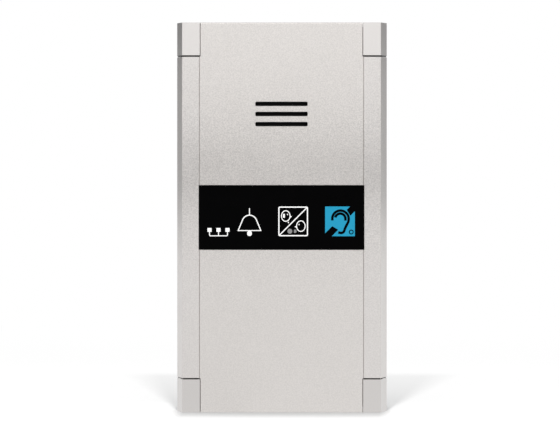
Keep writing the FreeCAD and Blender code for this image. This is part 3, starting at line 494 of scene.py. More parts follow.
def speech_lamps(ground):
    """The two grey marks beside the lower head."""
    disc = printed_oval("speech_disc", *SPEECH_DISC, ground)
    wedge = printed_oval("speech_wedge", *SPEECH_WEDGE, ground)
    edit(wedge)
    bpy.ops.mesh.bisect(plane_co=((SPEECH_WEDGE[0] - SPEECH_WEDGE_CUT) * MM, 0, 0),
                        plane_no=(1, 0, 0), use_fill=True, clear_inner=True)
    return join("speech_lamps", [disc, tidy(wedge)])


def loop_ground(ground):
    """The blue square of the hearing loop sign, cut by a bar from either corner to the ear."""
    bpy.ops.mesh.primitive_plane_add(size=LOOP_SIGN_SIZE * MM)
    piece = flat_shape("loop_ground", LOOP_SIGN_X, LOOP_SIGN_Z, ground)
    across = Vector((1, 0, -1))
    for start, stop, outwards, end in LOOP_BARS:
        for offset, normal in ((start, across), (stop, across), (end, outwards)):
            edit(piece)
            bpy.ops.mesh.bisect(plane_co=(offset * MM / normal.x, 0, 0), plane_no=normal)

    def in_bar(face):
        spot = face.center / MM
        return any(start < spot.dot(across) < stop and spot.dot(outwards) < end
                   for start, stop, outwards, end in LOOP_BARS)

    edit(piece, in_bar)
    bpy.ops.mesh.delete(type="FACE")
    return raise_ink(piece, ground)


def loop_ear(signs, ground):
    """The ear of the hearing loop sign, with a small loop beside its lobe."""
    lift = EAR_LIFT * MM
    outer = printed_line("ear_outer", *EAR_OUTER, signs.ear_line, ground, lift)
    inner = printed_line("ear_inner", *EAR_INNER, signs.ear_line, ground, lift)
    loop = printed_oval("ear_loop", *EAR_LOOP, ground, EAR_LOOP_LINE * MM, lift)
    return join("loop_ear", [outer, inner, loop])


# Cloth and board detail, in millimetres where MM is not there

CLOTH_THICKNESS = 0.22 * MM
CLOTH_GLUE = 2.5 * MM
CLOTH_SAG = 0.12 * MM
CLOTH_CELL = 0.5 * MM
CLOTH_SMOOTHING = 6
LEGEND_RISE = 0.04 * MM
LEGEND_LINE = 0.2 * MM
LEGEND_CORNER = 0.4
LEGEND_WHITE = (0.78, 0.78, 0.74)
# Each framed part, with the count and the pitch of the numbers below it
LEGENDS = (("terminal_block", 8, 3.81), ("mode_switch_body", 4, 2.54),
           ("volume_trimmer_body", 0, 0), ("program_button_body", 0, 0))
NUMBER_GAP = 1.6
OUTLINE_GAP = 0.45
RESISTOR_LENGTH = 2.0
RESISTOR_BODY = (1.9, 0.5, 1.14)
RESISTOR_BODY_EDGE = 0.05
RESISTOR_END = (0.42, 0.54, 1.2)
RESISTOR_END_EDGE = 0.06
RESISTOR_PAIRS = ((22, -37.6), (22, -40.4), (17.6, -37.6), (17.6, -40.4), (9.5, -38.6),
                  (9.5, -42.4), (22, -26.5), (22, -29.5))
RESISTOR_PLACES = [(side * x, z) for x, z in RESISTOR_PAIRS for side in (-1, 1)]
RESISTOR_PLACES += [(-22, -43.2), (-17.6, -43.2)]
BLOCK_EDGE_STEPS = 2
CHIP_PLACE = (0, -40.5)
CHIP_SIZE = (3.9, 1.45, 4.9)
CHIP_EDGE = 0.12
CHIP_GAP = 0.1
CHIP_FRAME_SIZE = (3.3, 6.0)
CHIP_FRAME_CORNER = 0.3
CHIP_LEG_PITCH = 1.27
CHIP_LEGS_A_SIDE = 4
CHIP_LEG_SECTION = (0.42, 0.2)
CHIP_LEG_ROOT = 0.1
CHIP_LEG_HEIGHT = 0.7
CHIP_LEG_SHOULDER = 0.3
CHIP_LEG_TOE = 0.45
CHIP_LEG_BEND_STEPS = 4
PAD_RISE = 0.035 * MM
PAD_CORNER = 0.1
RESISTOR_PAD = (0.9, 1.35)
LEG_PAD = (1.5, 0.65)
LEG_PAD_STEP = 1.0


def slot_cloth():
    """Woven cloth glued behind the sound slots, a little loose where it spans them."""
    low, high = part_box("slot_cloth")
    size, middle = high - low, (low + high) / 2
    bpy.ops.mesh.primitive_grid_add(x_subdivisions=round(size.x / CLOTH_CELL),
                                    y_subdivisions=round(size.z / CLOTH_CELL), size=1)
    piece = bpy.context.active_object
    piece.scale = (size.x, size.z, 1)
    piece.rotation_euler.x = math.radians(90)
    piece.location = (middle.x, low.y + CLOTH_THICKNESS, middle.z)
    settle("slot_cloth_woven")

    def free(face):
        spot = face.center - middle
        return abs(spot.x) < size.x / 2 - CLOTH_GLUE and abs(spot.z) < size.z / 2 - CLOTH_GLUE

    edit(piece, free)
    bpy.ops.transform.translate(value=(0, CLOTH_SAG, 0))
    bpy.ops.mesh.select_all(action="SELECT")
    bpy.ops.mesh.vertices_smooth(factor=0.5, repeat=CLOTH_SMOOTHING, xaxis=False, zaxis=False)
    modify(piece, "SOLIDIFY", thickness=CLOTH_THICKNESS, offset=1)
    bpy.ops.object.shade_smooth()
    rest()
    return piece, size


def block(name, size, middle, edge):
    """A block with broken edges."""
    bpy.ops.mesh.primitive_cube_add(size=1, location=Vector(middle) * MM)
    bpy.context.active_object.scale = Vector(size) * MM
    piece = settle(name)
    edit(piece)
    bpy.ops.mesh.bevel(offset=edge * MM, segments=BLOCK_EDGE_STEPS, affect="EDGES")
    rest()
    return piece


def spaced(count, pitch):
    """Places of a row about its middle."""
    return [(index - (count - 1) / 2) * pitch for index in range(count)]


def repeat(name, made, places, turns=(0,)):
    """Copies a piece to each place, once for each turn, and joins the copies."""
    copies = []
    for x, z in places:
        for turn in turns:
            pick(made)
            bpy.ops.object.duplicate()
            copies.append(shift(bpy.context.active_object, (x * MM, 0, z * MM), turn))
    bpy.data.objects.remove(made)
    return join(name, copies)


def board_legend(ground):
    """White frames round the parts, and the numbers of terminals and switches."""
    prints = [printed_block("legend_frame", *CHIP_PLACE, CHIP_FRAME_SIZE, CHIP_FRAME_CORNER,
                            ground, LEGEND_LINE)]
    for node, count, pitch in LEGENDS:
        low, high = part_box(node)
        size, middle = (high - low) / MM, (high + low) / 2 / MM
        outline = (size.x + 2 * OUTLINE_GAP, size.z + 2 * OUTLINE_GAP)
        prints.append(printed_block("legend_frame", middle.x, middle.z, outline, LEGEND_CORNER,
                                    ground, LEGEND_LINE))
        for number, x in enumerate(spaced(count, pitch), 1):
            prints.append(printed_number(number, middle.x - x,
                                         low.z / MM - OUTLINE_GAP - NUMBER_GAP, ground))
    return join("board_legend", prints)


def board_resistors():
    """The black bodies and tinned ends of the small resistors."""
    middle = BOARD_BACK / MM + RESISTOR_BODY[1] / 2
    body = block("resistor", RESISTOR_BODY, (0, middle, 0), RESISTOR_BODY_EDGE)
    step = (RESISTOR_LENGTH - RESISTOR_END[0]) / 2
    ends = [block("resistor_end", RESISTOR_END, (side * step, middle, 0), RESISTOR_END_EDGE)
            for side in (-1, 1)]
    bodies = repeat("board_resistors", body, RESISTOR_PLACES)
    return bodies, repeat("board_resistor_ends", join("ends", ends), RESISTOR_PLACES)


def chip_leg():
    """One leg of the chip: out from its side, down to the board and out along it."""
    width, thickness = CHIP_LEG_SECTION
    side = CHIP_SIZE[0] / 2 - CHIP_LEG_ROOT
    location = (side * MM, BOARD_BACK + CHIP_LEG_HEIGHT * MM, 0)
    bpy.ops.mesh.primitive_plane_add(size=1, rotation=(0, math.radians(90), 0), location=location)
    bpy.context.active_object.scale = (width * MM, thickness * MM, 1)
    leg = settle("chip_leg")
    edit(leg)
    push((CHIP_LEG_SHOULDER * MM, 0, 0))
    edge = (side + CHIP_LEG_SHOULDER) * MM
    radius = (CHIP_LEG_HEIGHT - thickness / 2) / 2
    height = BOARD_BACK + (CHIP_LEG_HEIGHT - radius) * MM
    for centre, degrees in ((edge, -90), (edge + 2 * radius * MM, 90)):
        bpy.ops.mesh.spin(steps=CHIP_LEG_BEND_STEPS, angle=math.radians(degrees), axis=(0, 0, 1),
                          center=(centre, height, 0))
    push((CHIP_LEG_TOE * MM, 0, 0))
    return tidy(leg)


def board_chip():
    """The driver chip in the service opening, and its legs."""
    middle = BOARD_BACK / MM + CHIP_GAP + CHIP_SIZE[1] / 2
    body = block("board_chip", CHIP_SIZE, (CHIP_PLACE[0], middle, CHIP_PLACE[1]), CHIP_EDGE)
    places = [(0, z) for z in spaced(CHIP_LEGS_A_SIDE, CHIP_LEG_PITCH)]
    legs = repeat("board_chip_legs", chip_leg(), places, turns=(0, math.pi))
    return body, shift(legs, (CHIP_PLACE[0] * MM, 0, CHIP_PLACE[1] * MM))


def board_pads(ground):
    """Tinned pads under the resistors' ends and the chip's legs."""
    rows = [(x, z, RESISTOR_LENGTH / 2, RESISTOR_PAD) for x, z in RESISTOR_PLACES]
    for z in spaced(CHIP_LEGS_A_SIDE, CHIP_LEG_PITCH):
        rows.append((CHIP_PLACE[0], CHIP_PLACE[1] + z, CHIP_SIZE[0] / 2 + LEG_PAD_STEP, LEG_PAD))
    pads = [printed_block("pad", x + side * step, z, size, PAD_CORNER, ground)
            for x, z, step, size in rows for side in (-1, 1)]
    return join("board_pads", pads)


# Shader nodes

# Bands that the wave texture draws in a metre at a scale of 1
WAVES_PER_METRE = 3.14


def feed(tree, given, socket):
    """Sets a socket to a value, or links it to the output of another node."""
    if isinstance(given, bpy.types.NodeSocket):
        tree.links.new(given, socket)
    else:
        socket.default_value = given


def feed_all(tree, node, given):
    """Feeds a node's sockets by name."""
    for name, value in given.items():
        feed(tree, value, node.inputs[name.replace("_", " ")])
    return node


def add(tree, kind, **given):
    """Adds a node and feeds its sockets by name."""
    return feed_all(tree, tree.nodes.new(kind), given)


def shade(tree, **given):
    """Feeds the sockets of a material's shader by name."""
    feed_all(tree, tree.nodes["Principled BSDF"], given)


def place(tree, stretch=(1, 1, 1), shift_by=(0, 0, 0)):
    """Object coordinates, stretched for drawn or brushed patterns and shifted."""
    return add(tree, "ShaderNodeMapping", Scale=stretch, Location=shift_by,
               Vector=add(tree, "ShaderNodeTexCoord").outputs["Object"]).outputs["Vector"]


def length_of(tree, vector):
    """The length of a vector output."""
    node = add(tree, "ShaderNodeVectorMath", Vector=vector)
    node.operation = "LENGTH"
    return node.outputs["Value"]


def height_up(tree):
    """0 at the foot of the object and 1 at its top."""
    return length_of(tree, place(tree, (0, 0, 1 / (cad_high.z - cad_low.z)), (0, 0, 0.5)))


def noise(tree, size, detail=3.0, stretch=(1, 1, 1)):
    """Noise whose features are about as large as size, in millimetres."""
    return add(tree, "ShaderNodeTexNoise", Scale=1 / (size * MM), Detail=detail,
               Vector=place(tree, stretch)).outputs["Fac"]


def waves(tree, direction, pitch):
    """Even ridges across one axis, at a pitch in millimetres."""
    node = add(tree, "ShaderNodeTexWave", Scale=1 / (pitch * MM) / WAVES_PER_METRE,
               Vector=place(tree))
    node.bands_direction = direction
    return node.outputs["Fac"]


def spread(tree, factor, low, high, start=0.3, stop=0.7):
    """Maps a factor on to a range."""
    return add(tree, "ShaderNodeMapRange", Value=factor, From_Min=start, From_Max=stop,
               To_Min=low, To_Max=high).outputs["Result"]


def ramp(tree, factor, stops):
    """Grey levels along a factor, given as pairs of place and level."""
    node = add(tree, "ShaderNodeValToRGB", Fac=factor)
    for extra in stops[2:]:
        node.color_ramp.elements.new(extra[0])
    for stop, (reach, level) in zip(node.color_ramp.elements, stops):
        stop.position = reach
        stop.color = (level, level, level, 1)
    return node.outputs["Color"]


def math_node(tree, operation, first, second):
    """Arithmetic on two outputs or numbers."""
    node = add(tree, "ShaderNodeMath")
    node.operation = operation
    feed(tree, first, node.inputs[0])
    feed(tree, second, node.inputs[1])
    return node.outputs["Value"]


def blend(tree, factor, first, second):
    """Mixes two colours, each given as a value or as an output."""
    mix = add(tree, "ShaderNodeMix")
    mix.data_type = "RGBA"
    for name, given in (("A", first), ("B", second)):
        if not isinstance(given, bpy.types.NodeSocket):
            given = (*given, 1)
        feed(tree, given, mix.inputs[name])
    feed(tree, factor, mix.inputs["Factor"])
    return mix.outputs["Result"]


def mix_shaders(tree, factor, first, second):
    """Mixes two shaders by a factor."""
    mix = add(tree, "ShaderNodeMixShader", Fac=factor)
    feed(tree, first, mix.inputs[1])
    feed(tree, second, mix.inputs[2])
    return mix.outputs["Shader"]


def mirrored(tree):
    """The outputs for rays, and 1 for rays from a mirror or through glass."""
    rays = add(tree, "ShaderNodeLightPath").outputs
    return rays, math_node(tree, "MAXIMUM", rays["Is Glossy Ray"], rays["Is Transmission Ray"])


# Finishes

GRAIN_SHOWS = ((0.0, 0.4), (0.22, 0.45), (0.37, 0.62), (0.5, 1.0), (0.73, 1.0), (0.83, 0.65),
               (1.0, 0.55))
GRAIN_TONES = (0.84, 1.16)
MIDDLE_GREY = (0.5, 0.5, 0.5)
# Painted shade in the caps' seams: its black, the width of its blend, and how far it leans up
CAP_SEAM_PAINTED_SHADE = (0.01, 0.01, 0.01)
PAINTED_SHADE_EDGE = 0.02 * MM
PAINTED_SHADE_LEAN = 0.18 * MM
LACQUER_RUN = (0.25, 0.75)
LACQUER_FLAKES = (-0.2, 0.2)
LACQUER_TONES = (0.845, 1.105)
WINDING_PITCH = 0.4
TRACK_CELL = 5.5
TRACK_BAND = 0.09
TRACK_EDGE = (0.035, 0.05)
TRACK_TONE = 1.9
WIRE_PARTING = 0.1 * MM


def finish(name, make, base, **given):
    """A new material of one colour, whose nodes a maker lays out."""
    material = bpy.data.materials.new(name)
    material.use_nodes = True
    shade(material.node_tree, Base_Color=(*base, 1))
    make(material.node_tree, base, **given)
    return material


def toned(base, tones):
    """A darker and a lighter shade of a colour."""
    return [tuple(min(1.0, channel * tone) for channel in base) for tone in tones]


def vary(tree, base, factor, change):
    """Lets a colour run a little darker and lighter."""
    dark, light = toned(base, (1 - change, 1 + change))
    shade(tree, Base_Color=blend(tree, spread(tree, factor, 0, 1), dark, light))


def roughen(tree, factor, low, high):
    """Lets the roughness run between two values."""
    shade(tree, Roughness=spread(tree, factor, low, high))


def relief(tree, factor, height):
    """Raises a surface by a height in millimetres."""
    bump = add(tree, "ShaderNodeBump", Distance=height * MM, Height=factor)
    shade(tree, Normal=bump.outputs["Normal"])


def blasted_metal(tree, base, roughness=0.42):
    """Aluminium with the grain that glass beads leave, coarsest above the window, anodised."""
    shade(tree, Roughness=roughness, Metallic=1.0)
    grain = spread(tree, noise(tree, size=0.55, detail=6), 0, 1)
    shown = ramp(tree, height_up(tree), GRAIN_SHOWS)
    shown = blend(tree, shown, MIDDLE_GREY, grain)
    shade(tree, Base_Color=blend(tree, shown, *toned(base, GRAIN_TONES)))
    cloud = noise(tree, size=14, detail=2)
    roughen(tree, cloud, roughness - 0.03, roughness + 0.03)
    relief(tree, noise(tree, size=0.22, detail=2), height=0.006)


def lacquered(tree, base):
    """Silver lacquer with fine flakes, and a band of painted shade in black at each cap's foot.

    The band stands in for the shade in the seams. It reaches a little up the front of the upper
    caps and covers only part of the rib on the lower ones. The upper caps are a shade paler
    than the lower ones.
    """
    shade(tree, Roughness=0.36, Metallic=1.0, Coat_Weight=0.08, Coat_Roughness=0.3)
    tone = spread(tree, height_up(tree), *LACQUER_RUN)
    flakes = spread(tree, noise(tree, size=0.12, detail=2), *LACQUER_FLAKES)
    tone = math_node(tree, "ADD", tone, flakes)
    silver = blend(tree, tone, *toned(base, LACQUER_TONES))
    height = length_of(tree, place(tree, (0, 0, 1), (0, 0, -PAINTED_SHADE_LEAN)))
    # Painted shade: black below each cap's foot, shifted up on the upper caps, down on the lower
    lacquer_beside_painted_shade = spread(tree, height, 0, 1, CAP_FOOT - PAINTED_SHADE_EDGE, CAP_FOOT)
    shade(tree, Base_Color=blend(tree, lacquer_beside_painted_shade, CAP_SEAM_PAINTED_SHADE, silver), Metallic=lacquer_beside_painted_shade)
    relief(tree, noise(tree, size=1.2, detail=1), height=0.004)


def moulded(tree, base, roughness=0.5, change=0.05):
    """Moulded plastic with a light texture from its tool."""
    shade(tree, Roughness=roughness)
    vary(tree, base, noise(tree, size=3, detail=4), change)
    relief(tree, noise(tree, size=0.25, detail=2), height=0.01)
    roughen(tree, noise(tree, size=1.5), roughness - 0.06, roughness + 0.06)


def zinc_plated(tree, base):
    """Plated sheet: patches of slightly different shine, and fine rolling lines."""
    shade(tree, Roughness=0.38, Metallic=1.0)
    cells = add(tree, "ShaderNodeTexVoronoi", Scale=1 / (2.2 * MM), Vector=place(tree))
    vary(tree, base, cells.outputs["Color"], change=0.035)
    roughen(tree, noise(tree, size=7), 0.32, 0.46)
    relief(tree, noise(tree, size=0.3, stretch=(1, 1, 0.05)), height=0.004)


def turned_metal(tree, base, roughness=0.3):
    """Bright metal of screws, cans and small turned parts."""
    shade(tree, Roughness=roughness, Metallic=1.0)
    vary(tree, base, noise(tree, size=0.8, detail=4), change=0.08)
    scratch = noise(tree, size=0.15, detail=2, stretch=(1, 0.2, 1))
    roughen(tree, scratch, roughness - 0.08, roughness + 0.1)
    relief(tree, scratch, height=0.003)


def polished_black(tree, base):
    """Polished black window: deep, with a trace of waviness."""
    shade(tree, Roughness=0.09, Specular_IOR_Level=0.02)
    vary(tree, base, noise(tree, size=6), change=0.2)
    roughen(tree, noise(tree, size=4, detail=5), 0.07, 0.12)
    relief(tree, noise(tree, size=12, detail=1), height=0.002)


def ink(tree, base, shine=0.35):
    """Screen print with a slight orange peel."""
    shade(tree, Roughness=0.45, Specular_IOR_Level=shine)
    vary(tree, base, noise(tree, size=0.3, detail=3), change=0.03)
    relief(tree, noise(tree, size=0.25, detail=2), height=0.004)


def woven(tree, base, pitch=0.25):
    """Threads that cross over and under."""
    shade(tree, Roughness=0.9, Specular_IOR_Level=0.03)
    threads = [waves(tree, direction, pitch) for direction in ("X", "Z")]
    height = math_node(tree, "MULTIPLY", *threads)
    vary(tree, base, height, change=0.5)
    relief(tree, height, height=0.05)


def board_mask(tree, base):
    """Solder mask with the copper tracks showing as a lighter green."""
    shade(tree, Roughness=0.32, Coat_Weight=0.2, Coat_Roughness=0.15)
    tracks = add(tree, "ShaderNodeTexVoronoi", Scale=1 / (TRACK_CELL * MM), Randomness=0.85,
                 Vector=place(tree))
    tracks.feature = "F2"
    tracks.distance = "CHEBYCHEV"
    bands = math_node(tree, "PINGPONG", tracks.outputs["Distance"], TRACK_BAND)
    track = spread(tree, bands, 0, 1, *TRACK_EDGE)
    shade(tree, Base_Color=blend(tree, track, *toned(base, (1, TRACK_TONE))))
    relief(tree, track, height=0.02)


def rubber(tree, base, roughness=0.75):
    """Matt rubber or foam with a dusty bloom."""
    shade(tree, Roughness=roughness)
    vary(tree, base, noise(tree, size=1.2, detail=5), change=0.25)
    relief(tree, noise(tree, size=0.2, detail=3), height=0.03)


def wire(tree, base, other):
    """Insulation: one colour left of the middle of a pair and another right of it."""
    shade(tree, Roughness=0.4)
    axes = add(tree, "ShaderNodeSeparateXYZ", Vector=place(tree)).outputs
    side = spread(tree, axes["X"], 0, 1, -WIRE_PARTING, WIRE_PARTING)
    shade(tree, Base_Color=blend(tree, side, base, other))
    relief(tree, noise(tree, size=0.4), height=0.006)


def winding(tree, base):
    """Enamelled copper wire, turn beside turn."""
    shade(tree, Roughness=0.3, Metallic=0.9)
    turns = waves(tree, "Y", WINDING_PITCH)
    vary(tree, base, turns, change=0.3)
    relief(tree, turns, height=0.05)


def clear_lens(tree, base):
    """White lamp package with a yellow phosphor under its lens."""
    shade(tree, Roughness=0.25, Subsurface_Weight=0.15, Subsurface_Scale=0.5 * MM)
    vary(tree, base, noise(tree, size=0.4), change=0.06)
    relief(tree, noise(tree, size=0.5), height=0.004)


def make_finishes(colours):
    """Every finish by the record's slot name, each with its maker, its colour and what differs."""
    table = {
        "panel_aluminium": (blasted_metal, colours.panel, {}),
        "rail_aluminium": (blasted_metal, colours.rail, {"roughness": 0.4}),
        "cap_silver": (lacquered, colours.cap, {}),
        "zinc_steel": (zinc_plated, (0.55, 0.56, 0.57), {}),
        "screw_steel": (turned_metal, (0.6, 0.6, 0.61), {}),
        "window_black": (polished_black, colours.window, {}),
        "film_white": (moulded, (0.72, 0.73, 0.75), {"roughness": 0.6}),
        "frame_white": (moulded, (0.78, 0.78, 0.76), {}),
        "lamp_clear": (clear_lens, (0.85, 0.82, 0.6), {}),
        "cloth_black": (woven, (0.006, 0.006, 0.006), {}),
        "foam_black": (rubber, (0.02, 0.02, 0.02), {"roughness": 0.9}),
        "cone_black": (rubber, (0.02, 0.02, 0.022), {"roughness": 0.6}),
        "rubber_black": (rubber, (0.015, 0.015, 0.015), {}),
        "spider_cloth": (woven, (0.4, 0.2, 0.05), {"pitch": 0.5}),
        "ferrite_grey": (moulded, (0.03, 0.03, 0.033), {"roughness": 0.45, "change": 0.2}),
        "copper_wire": (winding, (0.62, 0.2, 0.07), {}),
        "phenolic_brown": (moulded, (0.15, 0.05, 0.015), {"change": 0.15}),
        "tinned_brass": (turned_metal, (0.62, 0.6, 0.54), {}),
        "nickel_brass": (turned_metal, (0.6, 0.56, 0.46), {"roughness": 0.25}),
        "board_green": (board_mask, colours.board, {}),
        "terminal_green": (moulded, colours.terminals, {"roughness": 0.42}),
        "switch_red": (moulded, (0.42, 0.02, 0.015), {"roughness": 0.35}),
        "part_white": (moulded, (0.76, 0.74, 0.69), {"roughness": 0.4}),
        "part_black": (moulded, (0.012, 0.012, 0.013), {"change": 0.2}),
        "trimmer_blue": (moulded, (0.01, 0.05, 0.32), {"roughness": 0.35}),
        "can_aluminium": (turned_metal, (0.72, 0.72, 0.73), {"roughness": 0.35}),
        "lead_red": (wire, (0.45, 0.02, 0.015), {"other": (0.012, 0.012, 0.012)}),
        "lead_grey": (wire, (0.12, 0.12, 0.125), {"other": (0.4, 0.4, 0.38)}),
    }
    return {name: finish(name, make, base, **given)
            for name, (make, base, given) in table.items()}


# Studio

WHITE = (1, 1, 1, 1)
FLOOR_PAPER = (0.85, 0.85, 0.85)
FLOOR_FADE_SHAPE = (0.3, 0.743, 0)
FLOOR_FADE_CENTRE = (0, 0.0067, 0)
FLOOR_FADE = ((0.35, 0.0), (0.9, 1.0))
# Floor brightness by distance; below 1 in front of the object it is a painted contact shadow
FLOOR_GAIN_AND_PAINTED_SHADOW = ((0.016, 0.71), (0.025, 0.81), (0.039, 0.98), (0.055, 1.13), (0.085, 1.27),
              (0.175, 1.35), (0.36, 1.46), (1.0, 1.6))
# Beside the object the floor takes this brightness instead, so the painted shadow stays under it
SIDE_GAIN = ((0.0, 1.2), (0.055, 1.3), (0.085, 1.27), (0.175, 1.35), (0.36, 1.46), (1.0, 1.6))
SIDE_GAIN_EDGE = (0.0465, 0.0525)
FLAG_LENGTH = 0.5
SIDE_FLAG_SIZE = 0.5
SIDE_FLAG_DEPTH = 0.25
UPPER_FLAG_STEP = 0.005
# Name, side, and the brightness of the lower and the upper card
SIDE_FLAGS = (("flag_left", -1, 0.43, 0.2), ("flag_right", 1, 0.51, 0.3))


def bare_tree(piece):
    """The nodes of a new material on a piece of the studio, and the socket for its shader."""
    material = bpy.data.materials.new(piece.name)
    material.use_nodes = True
    piece.data.materials.append(material)
    nodes = material.node_tree.nodes
    nodes.remove(nodes["Principled BSDF"])
    return material.node_tree, nodes["Material Output"].inputs["Surface"]


def make_floor(studio):
    """A white floor with the lamps' shadows and a painted contact shadow, clear from below."""
    bpy.ops.mesh.primitive_plane_add(size=studio.floor_size, location=(0, 0, FLOOR_HEIGHT))
    floor = settle("studio_floor")
    tree, surface = bare_tree(floor)
    rays, in_mirror = mirrored(tree)
    distance = length_of(tree, place(tree, FLOOR_FADE_SHAPE, FLOOR_FADE_CENTRE))
    beside_painted_shadow = length_of(tree, place(tree, (1, 0, 0)))
    beside_painted_shadow = spread(tree, beside_painted_shadow, 0, 1, *SIDE_GAIN_EDGE)
    gains_and_painted_shadow = [ramp(tree, distance, gain) for gain in (FLOOR_GAIN_AND_PAINTED_SHADOW, SIDE_GAIN)]
    gain = blend(tree, beside_painted_shadow, *gains_and_painted_shadow)
    # For the camera the floor's colour is the gain, with its painted contact shadow
    paper_and_painted_shadow = blend(tree, rays["Is Camera Ray"], FLOOR_PAPER, gain)
    matt = add(tree, "ShaderNodeBsdfDiffuse", Color=paper_and_painted_shadow)
    glow = add(tree, "ShaderNodeEmission", Strength=1.0)
    fade = ramp(tree, distance, FLOOR_FADE)
    faded = math_node(tree, "MULTIPLY", rays["Is Camera Ray"], fade)
    weight = math_node(tree, "MAXIMUM", faded, in_mirror)
    above = mix_shaders(tree, weight, matt.outputs["BSDF"], glow.outputs["Emission"])
    clear = add(tree, "ShaderNodeBsdfTransparent").outputs["BSDF"]
    behind = add(tree, "ShaderNodeNewGeometry").outputs["Backfacing"]
    feed(tree, mix_shaders(tree, behind, above, clear), surface)


def make_world(studio):
    """White where it is seen, and an even fill elsewhere."""
    world = bpy.context.scene.world or bpy.data.worlds.new("studio")
    bpy.context.scene.world = world
    world.use_nodes = True
    tree = world.node_tree
    rays, in_mirror = mirrored(tree)
    seen = math_node(tree, "MAXIMUM", rays["Is Camera Ray"], in_mirror)
    level = spread(tree, seen, studio.fill_level, 1.0, 0, 1)
    feed_all(tree, tree.nodes["Background"], {"Color": WHITE, "Strength": level})


def make_lamp(studio, name, size, power):
    """A square lamp in front of the object and above it, aimed at its middle."""
    bpy.ops.object.light_add(type="AREA", location=(0, cad_low.y - studio.key_distance,
                                                    FLOOR_HEIGHT + studio.key_height))
    lamp = bpy.context.active_object
    lamp.name = name
    lamp.data.size = size
    lamp.data.energy = power
    aim = Vector((0, cad_low.y, 0)) - lamp.location
    lamp.rotation_euler = aim.to_track_quat("-Z", "Y").to_euler()
    return lamp


def make_flag(name, centre, width, height, turn=0.0, level=0.0):
    """A card that only mirrors see, upright, turned about the vertical by degrees."""
    bpy.ops.mesh.primitive_plane_add(size=1, location=centre,
                                     rotation=(math.radians(90), 0, math.radians(turn)))
    bpy.context.active_object.scale = (width, height, 1)
    flag = settle(name)
    tree, surface = bare_tree(flag)
    feed(tree, add(tree, "ShaderNodeEmission", Strength=level).outputs["Emission"], surface)
    flag.visible_camera = False
    flag.visible_diffuse = False
    flag.visible_shadow = False
    flag.visible_transmission = False


def make_side_flag(name, x, foot, level):
    """A grey card behind the object and beside it, which its leaning side mirrors."""
    make_flag(name, (x, SIDE_FLAG_DEPTH, foot + SIDE_FLAG_SIZE / 2), SIDE_FLAG_SIZE, SIDE_FLAG_SIZE,
              90, level)


def make_camera(context, studio):
    """A long lens, a little above the middle of the object and to its right."""
    turn = math.atan2(studio.camera_side - studio.aim_x, studio.camera_distance)
    tilt = math.atan2(studio.camera_rise, studio.camera_distance)
    bpy.ops.object.camera_add(location=(studio.camera_side, cad_low.y - studio.camera_distance,
                                        studio.aim_z + studio.camera_rise),
                              rotation=(math.radians(90) - tilt, 0, turn))
    camera = bpy.context.active_object
    camera.name = "studio_camera"
    focal_pixels = studio.camera_distance * PIXELS_PER_METRE_AT_FRONT
    camera.data.lens = camera.data.sensor_width * focal_pixels / IMAGE_WIDTH
    camera.data.clip_end = studio.floor_size
    context.scene.camera = camera


# Operators


class INTERCOM_OT_stage(bpy.types.Operator):
    """Set up the floor, the lamps and the camera"""

    bl_idname = "intercom.stage"
    bl_label = "Stage"

    def execute(self, context):
        studio = context.scene.intercom_studio
        make_floor(studio)
        make_world(studio)
        key = make_lamp(studio, "key_lamp", studio.key_size, studio.key_power)
        key.visible_glossy = False
        make_lamp(studio, "sheen_lamp", studio.sheen_size, studio.sheen_power)
        make_flag("flag_front", (0, cad_low.y - studio.flag_distance, studio.flag_height),
                  FLAG_LENGTH, studio.flag_width)
        reach = cad_high.x + studio.side_flag_reach
        for name, side, level, upper_level in SIDE_FLAGS:
            make_side_flag(name, side * reach, studio.side_flag_foot, level)
            make_side_flag(name + "_upper", side * (reach - UPPER_FLAG_STEP),
                           studio.upper_flag_foot, upper_level)
        make_camera(context, studio)
        context.scene.view_settings.view_transform = "Standard"
        return {"FINISHED"}


class INTERCOM_OT_finish_solids(bpy.types.Operator):
    """Give every solid of the frame its finish"""

    bl_idname = "intercom.finish_solids"
    bl_label = "Finish the Solids"

    def execute(self, context):
        finishes = make_finishes(context.scene.intercom_colours)
        for part in frame["record"]["subparts"]:
            node = frame["nodes"][part["node"]]
            for material_slot in node.material_slots:
                material_slot.material = finishes[part["material_slot"]]
        return {"FINISHED"}


class INTERCOM_OT_signs(bpy.types.Operator):
    """Print the signs on the window"""

    bl_idname = "intercom.signs"
    bl_label = "Signs"

    def execute(self, context):
        signs, colours = context.scene.intercom_signs, context.scene.intercom_colours
        ground = Ground(WINDOW_FACE, -1, signs.ink_rise, signs.arc_steps)
        white = finish("sign_white", ink, colours.sign_white)
        grey = finish("sign_grey", ink, colours.sign_grey)
        blue = finish("sign_blue", ink, colours.sign_blue)
        black = finish("sign_black", ink, colours.window, shine=0.02)
        prints = (
            ("sign_network", network_sign(signs, ground), white),
            ("sign_bell", bell_sign(signs, ground), white),
            ("sign_voice", voice_sign(signs, ground), white),
            ("sign_speech_lamps", speech_lamps(ground), grey),
            ("sign_loop_ground", loop_ground(ground), blue),
            ("sign_loop_ear", loop_ear(signs, ground), black),
        )
        for name, piece, material in prints:
            finish_piece(rename(piece, name), "window_black", material)
        return {"FINISHED"}


class INTERCOM_OT_slot_cloth(bpy.types.Operator):
    """Stretch the woven cloth behind the sound slots"""

    bl_idname = "intercom.slot_cloth"
    bl_label = "Slot Cloth"

    def execute(self, context):
        piece, size = slot_cloth()
        finish_piece(piece, "cloth_black")
        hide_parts("slot_cloth")
        return {"FINISHED"}


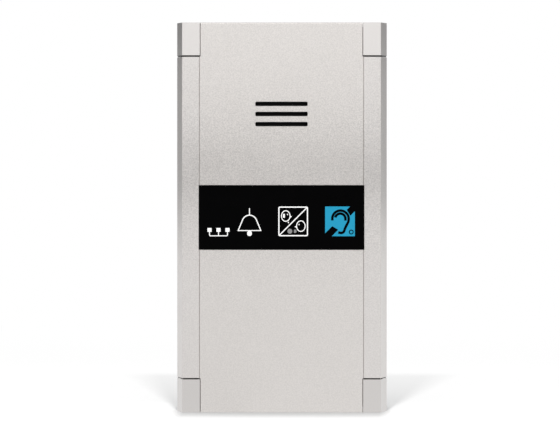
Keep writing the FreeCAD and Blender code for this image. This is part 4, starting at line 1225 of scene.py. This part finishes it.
class INTERCOM_OT_board_detail(bpy.types.Operator):
    """Add the legend, the small parts and the pads to the circuit board"""

    bl_idname = "intercom.board_detail"
    bl_label = "Board Detail"

    def execute(self, context):
        steps = context.scene.intercom_signs.arc_steps
        legend = board_legend(Ground(BOARD_BACK, 1, LEGEND_RISE, steps))
        finish_piece(legend, "part_white", finish("legend_white", ink, LEGEND_WHITE))
        bodies, ends = board_resistors()
        chip, legs = board_chip()
        pads = board_pads(Ground(BOARD_BACK, 1, PAD_RISE, steps))
        for piece in (bodies, chip):
            finish_piece(piece, "part_black")
        for piece in (ends, legs, pads):
            finish_piece(piece, "tinned_brass")
        return {"FINISHED"}


class INTERCOM_PT_panel(bpy.types.Panel):
    """The intercom's steps in the sidebar"""

    bl_label = "Intercom"
    bl_space_type = "VIEW_3D"
    bl_region_type = "UI"
    bl_category = "Intercom"

    def draw(self, context):
        for operator in OPERATORS:
            self.layout.operator(operator.bl_idname)
        for group in (context.scene.intercom_colours, context.scene.intercom_signs,
                      context.scene.intercom_studio):
            for name in group.__annotations__:
                self.layout.prop(group, name)


OPERATORS = (INTERCOM_OT_stage, INTERCOM_OT_finish_solids, INTERCOM_OT_signs,
             INTERCOM_OT_slot_cloth, INTERCOM_OT_board_detail)
GROUPS = {
    "intercom_colours": IntercomColours,
    "intercom_signs": IntercomSigns,
    "intercom_studio": IntercomStudio,
}


def register():
    for group in GROUPS.values():
        bpy.utils.register_class(group)
    for operator in OPERATORS:
        bpy.utils.register_class(operator)
    bpy.utils.register_class(INTERCOM_PT_panel)
    for name, group in GROUPS.items():
        setattr(bpy.types.Scene, name, PointerProperty(type=group))


def unregister():
    for name in GROUPS:
        delattr(bpy.types.Scene, name)
    bpy.utils.unregister_class(INTERCOM_PT_panel)
    for made in (*OPERATORS, *GROUPS.values()):
        bpy.utils.unregister_class(made)


def main():
    register()
    rest()
    bpy.ops.intercom.stage()
    bpy.ops.intercom.finish_solids()
    bpy.ops.intercom.signs()
    bpy.ops.intercom.slot_cloth()
    bpy.ops.intercom.board_detail()


if __name__ == "__main__":
    main()
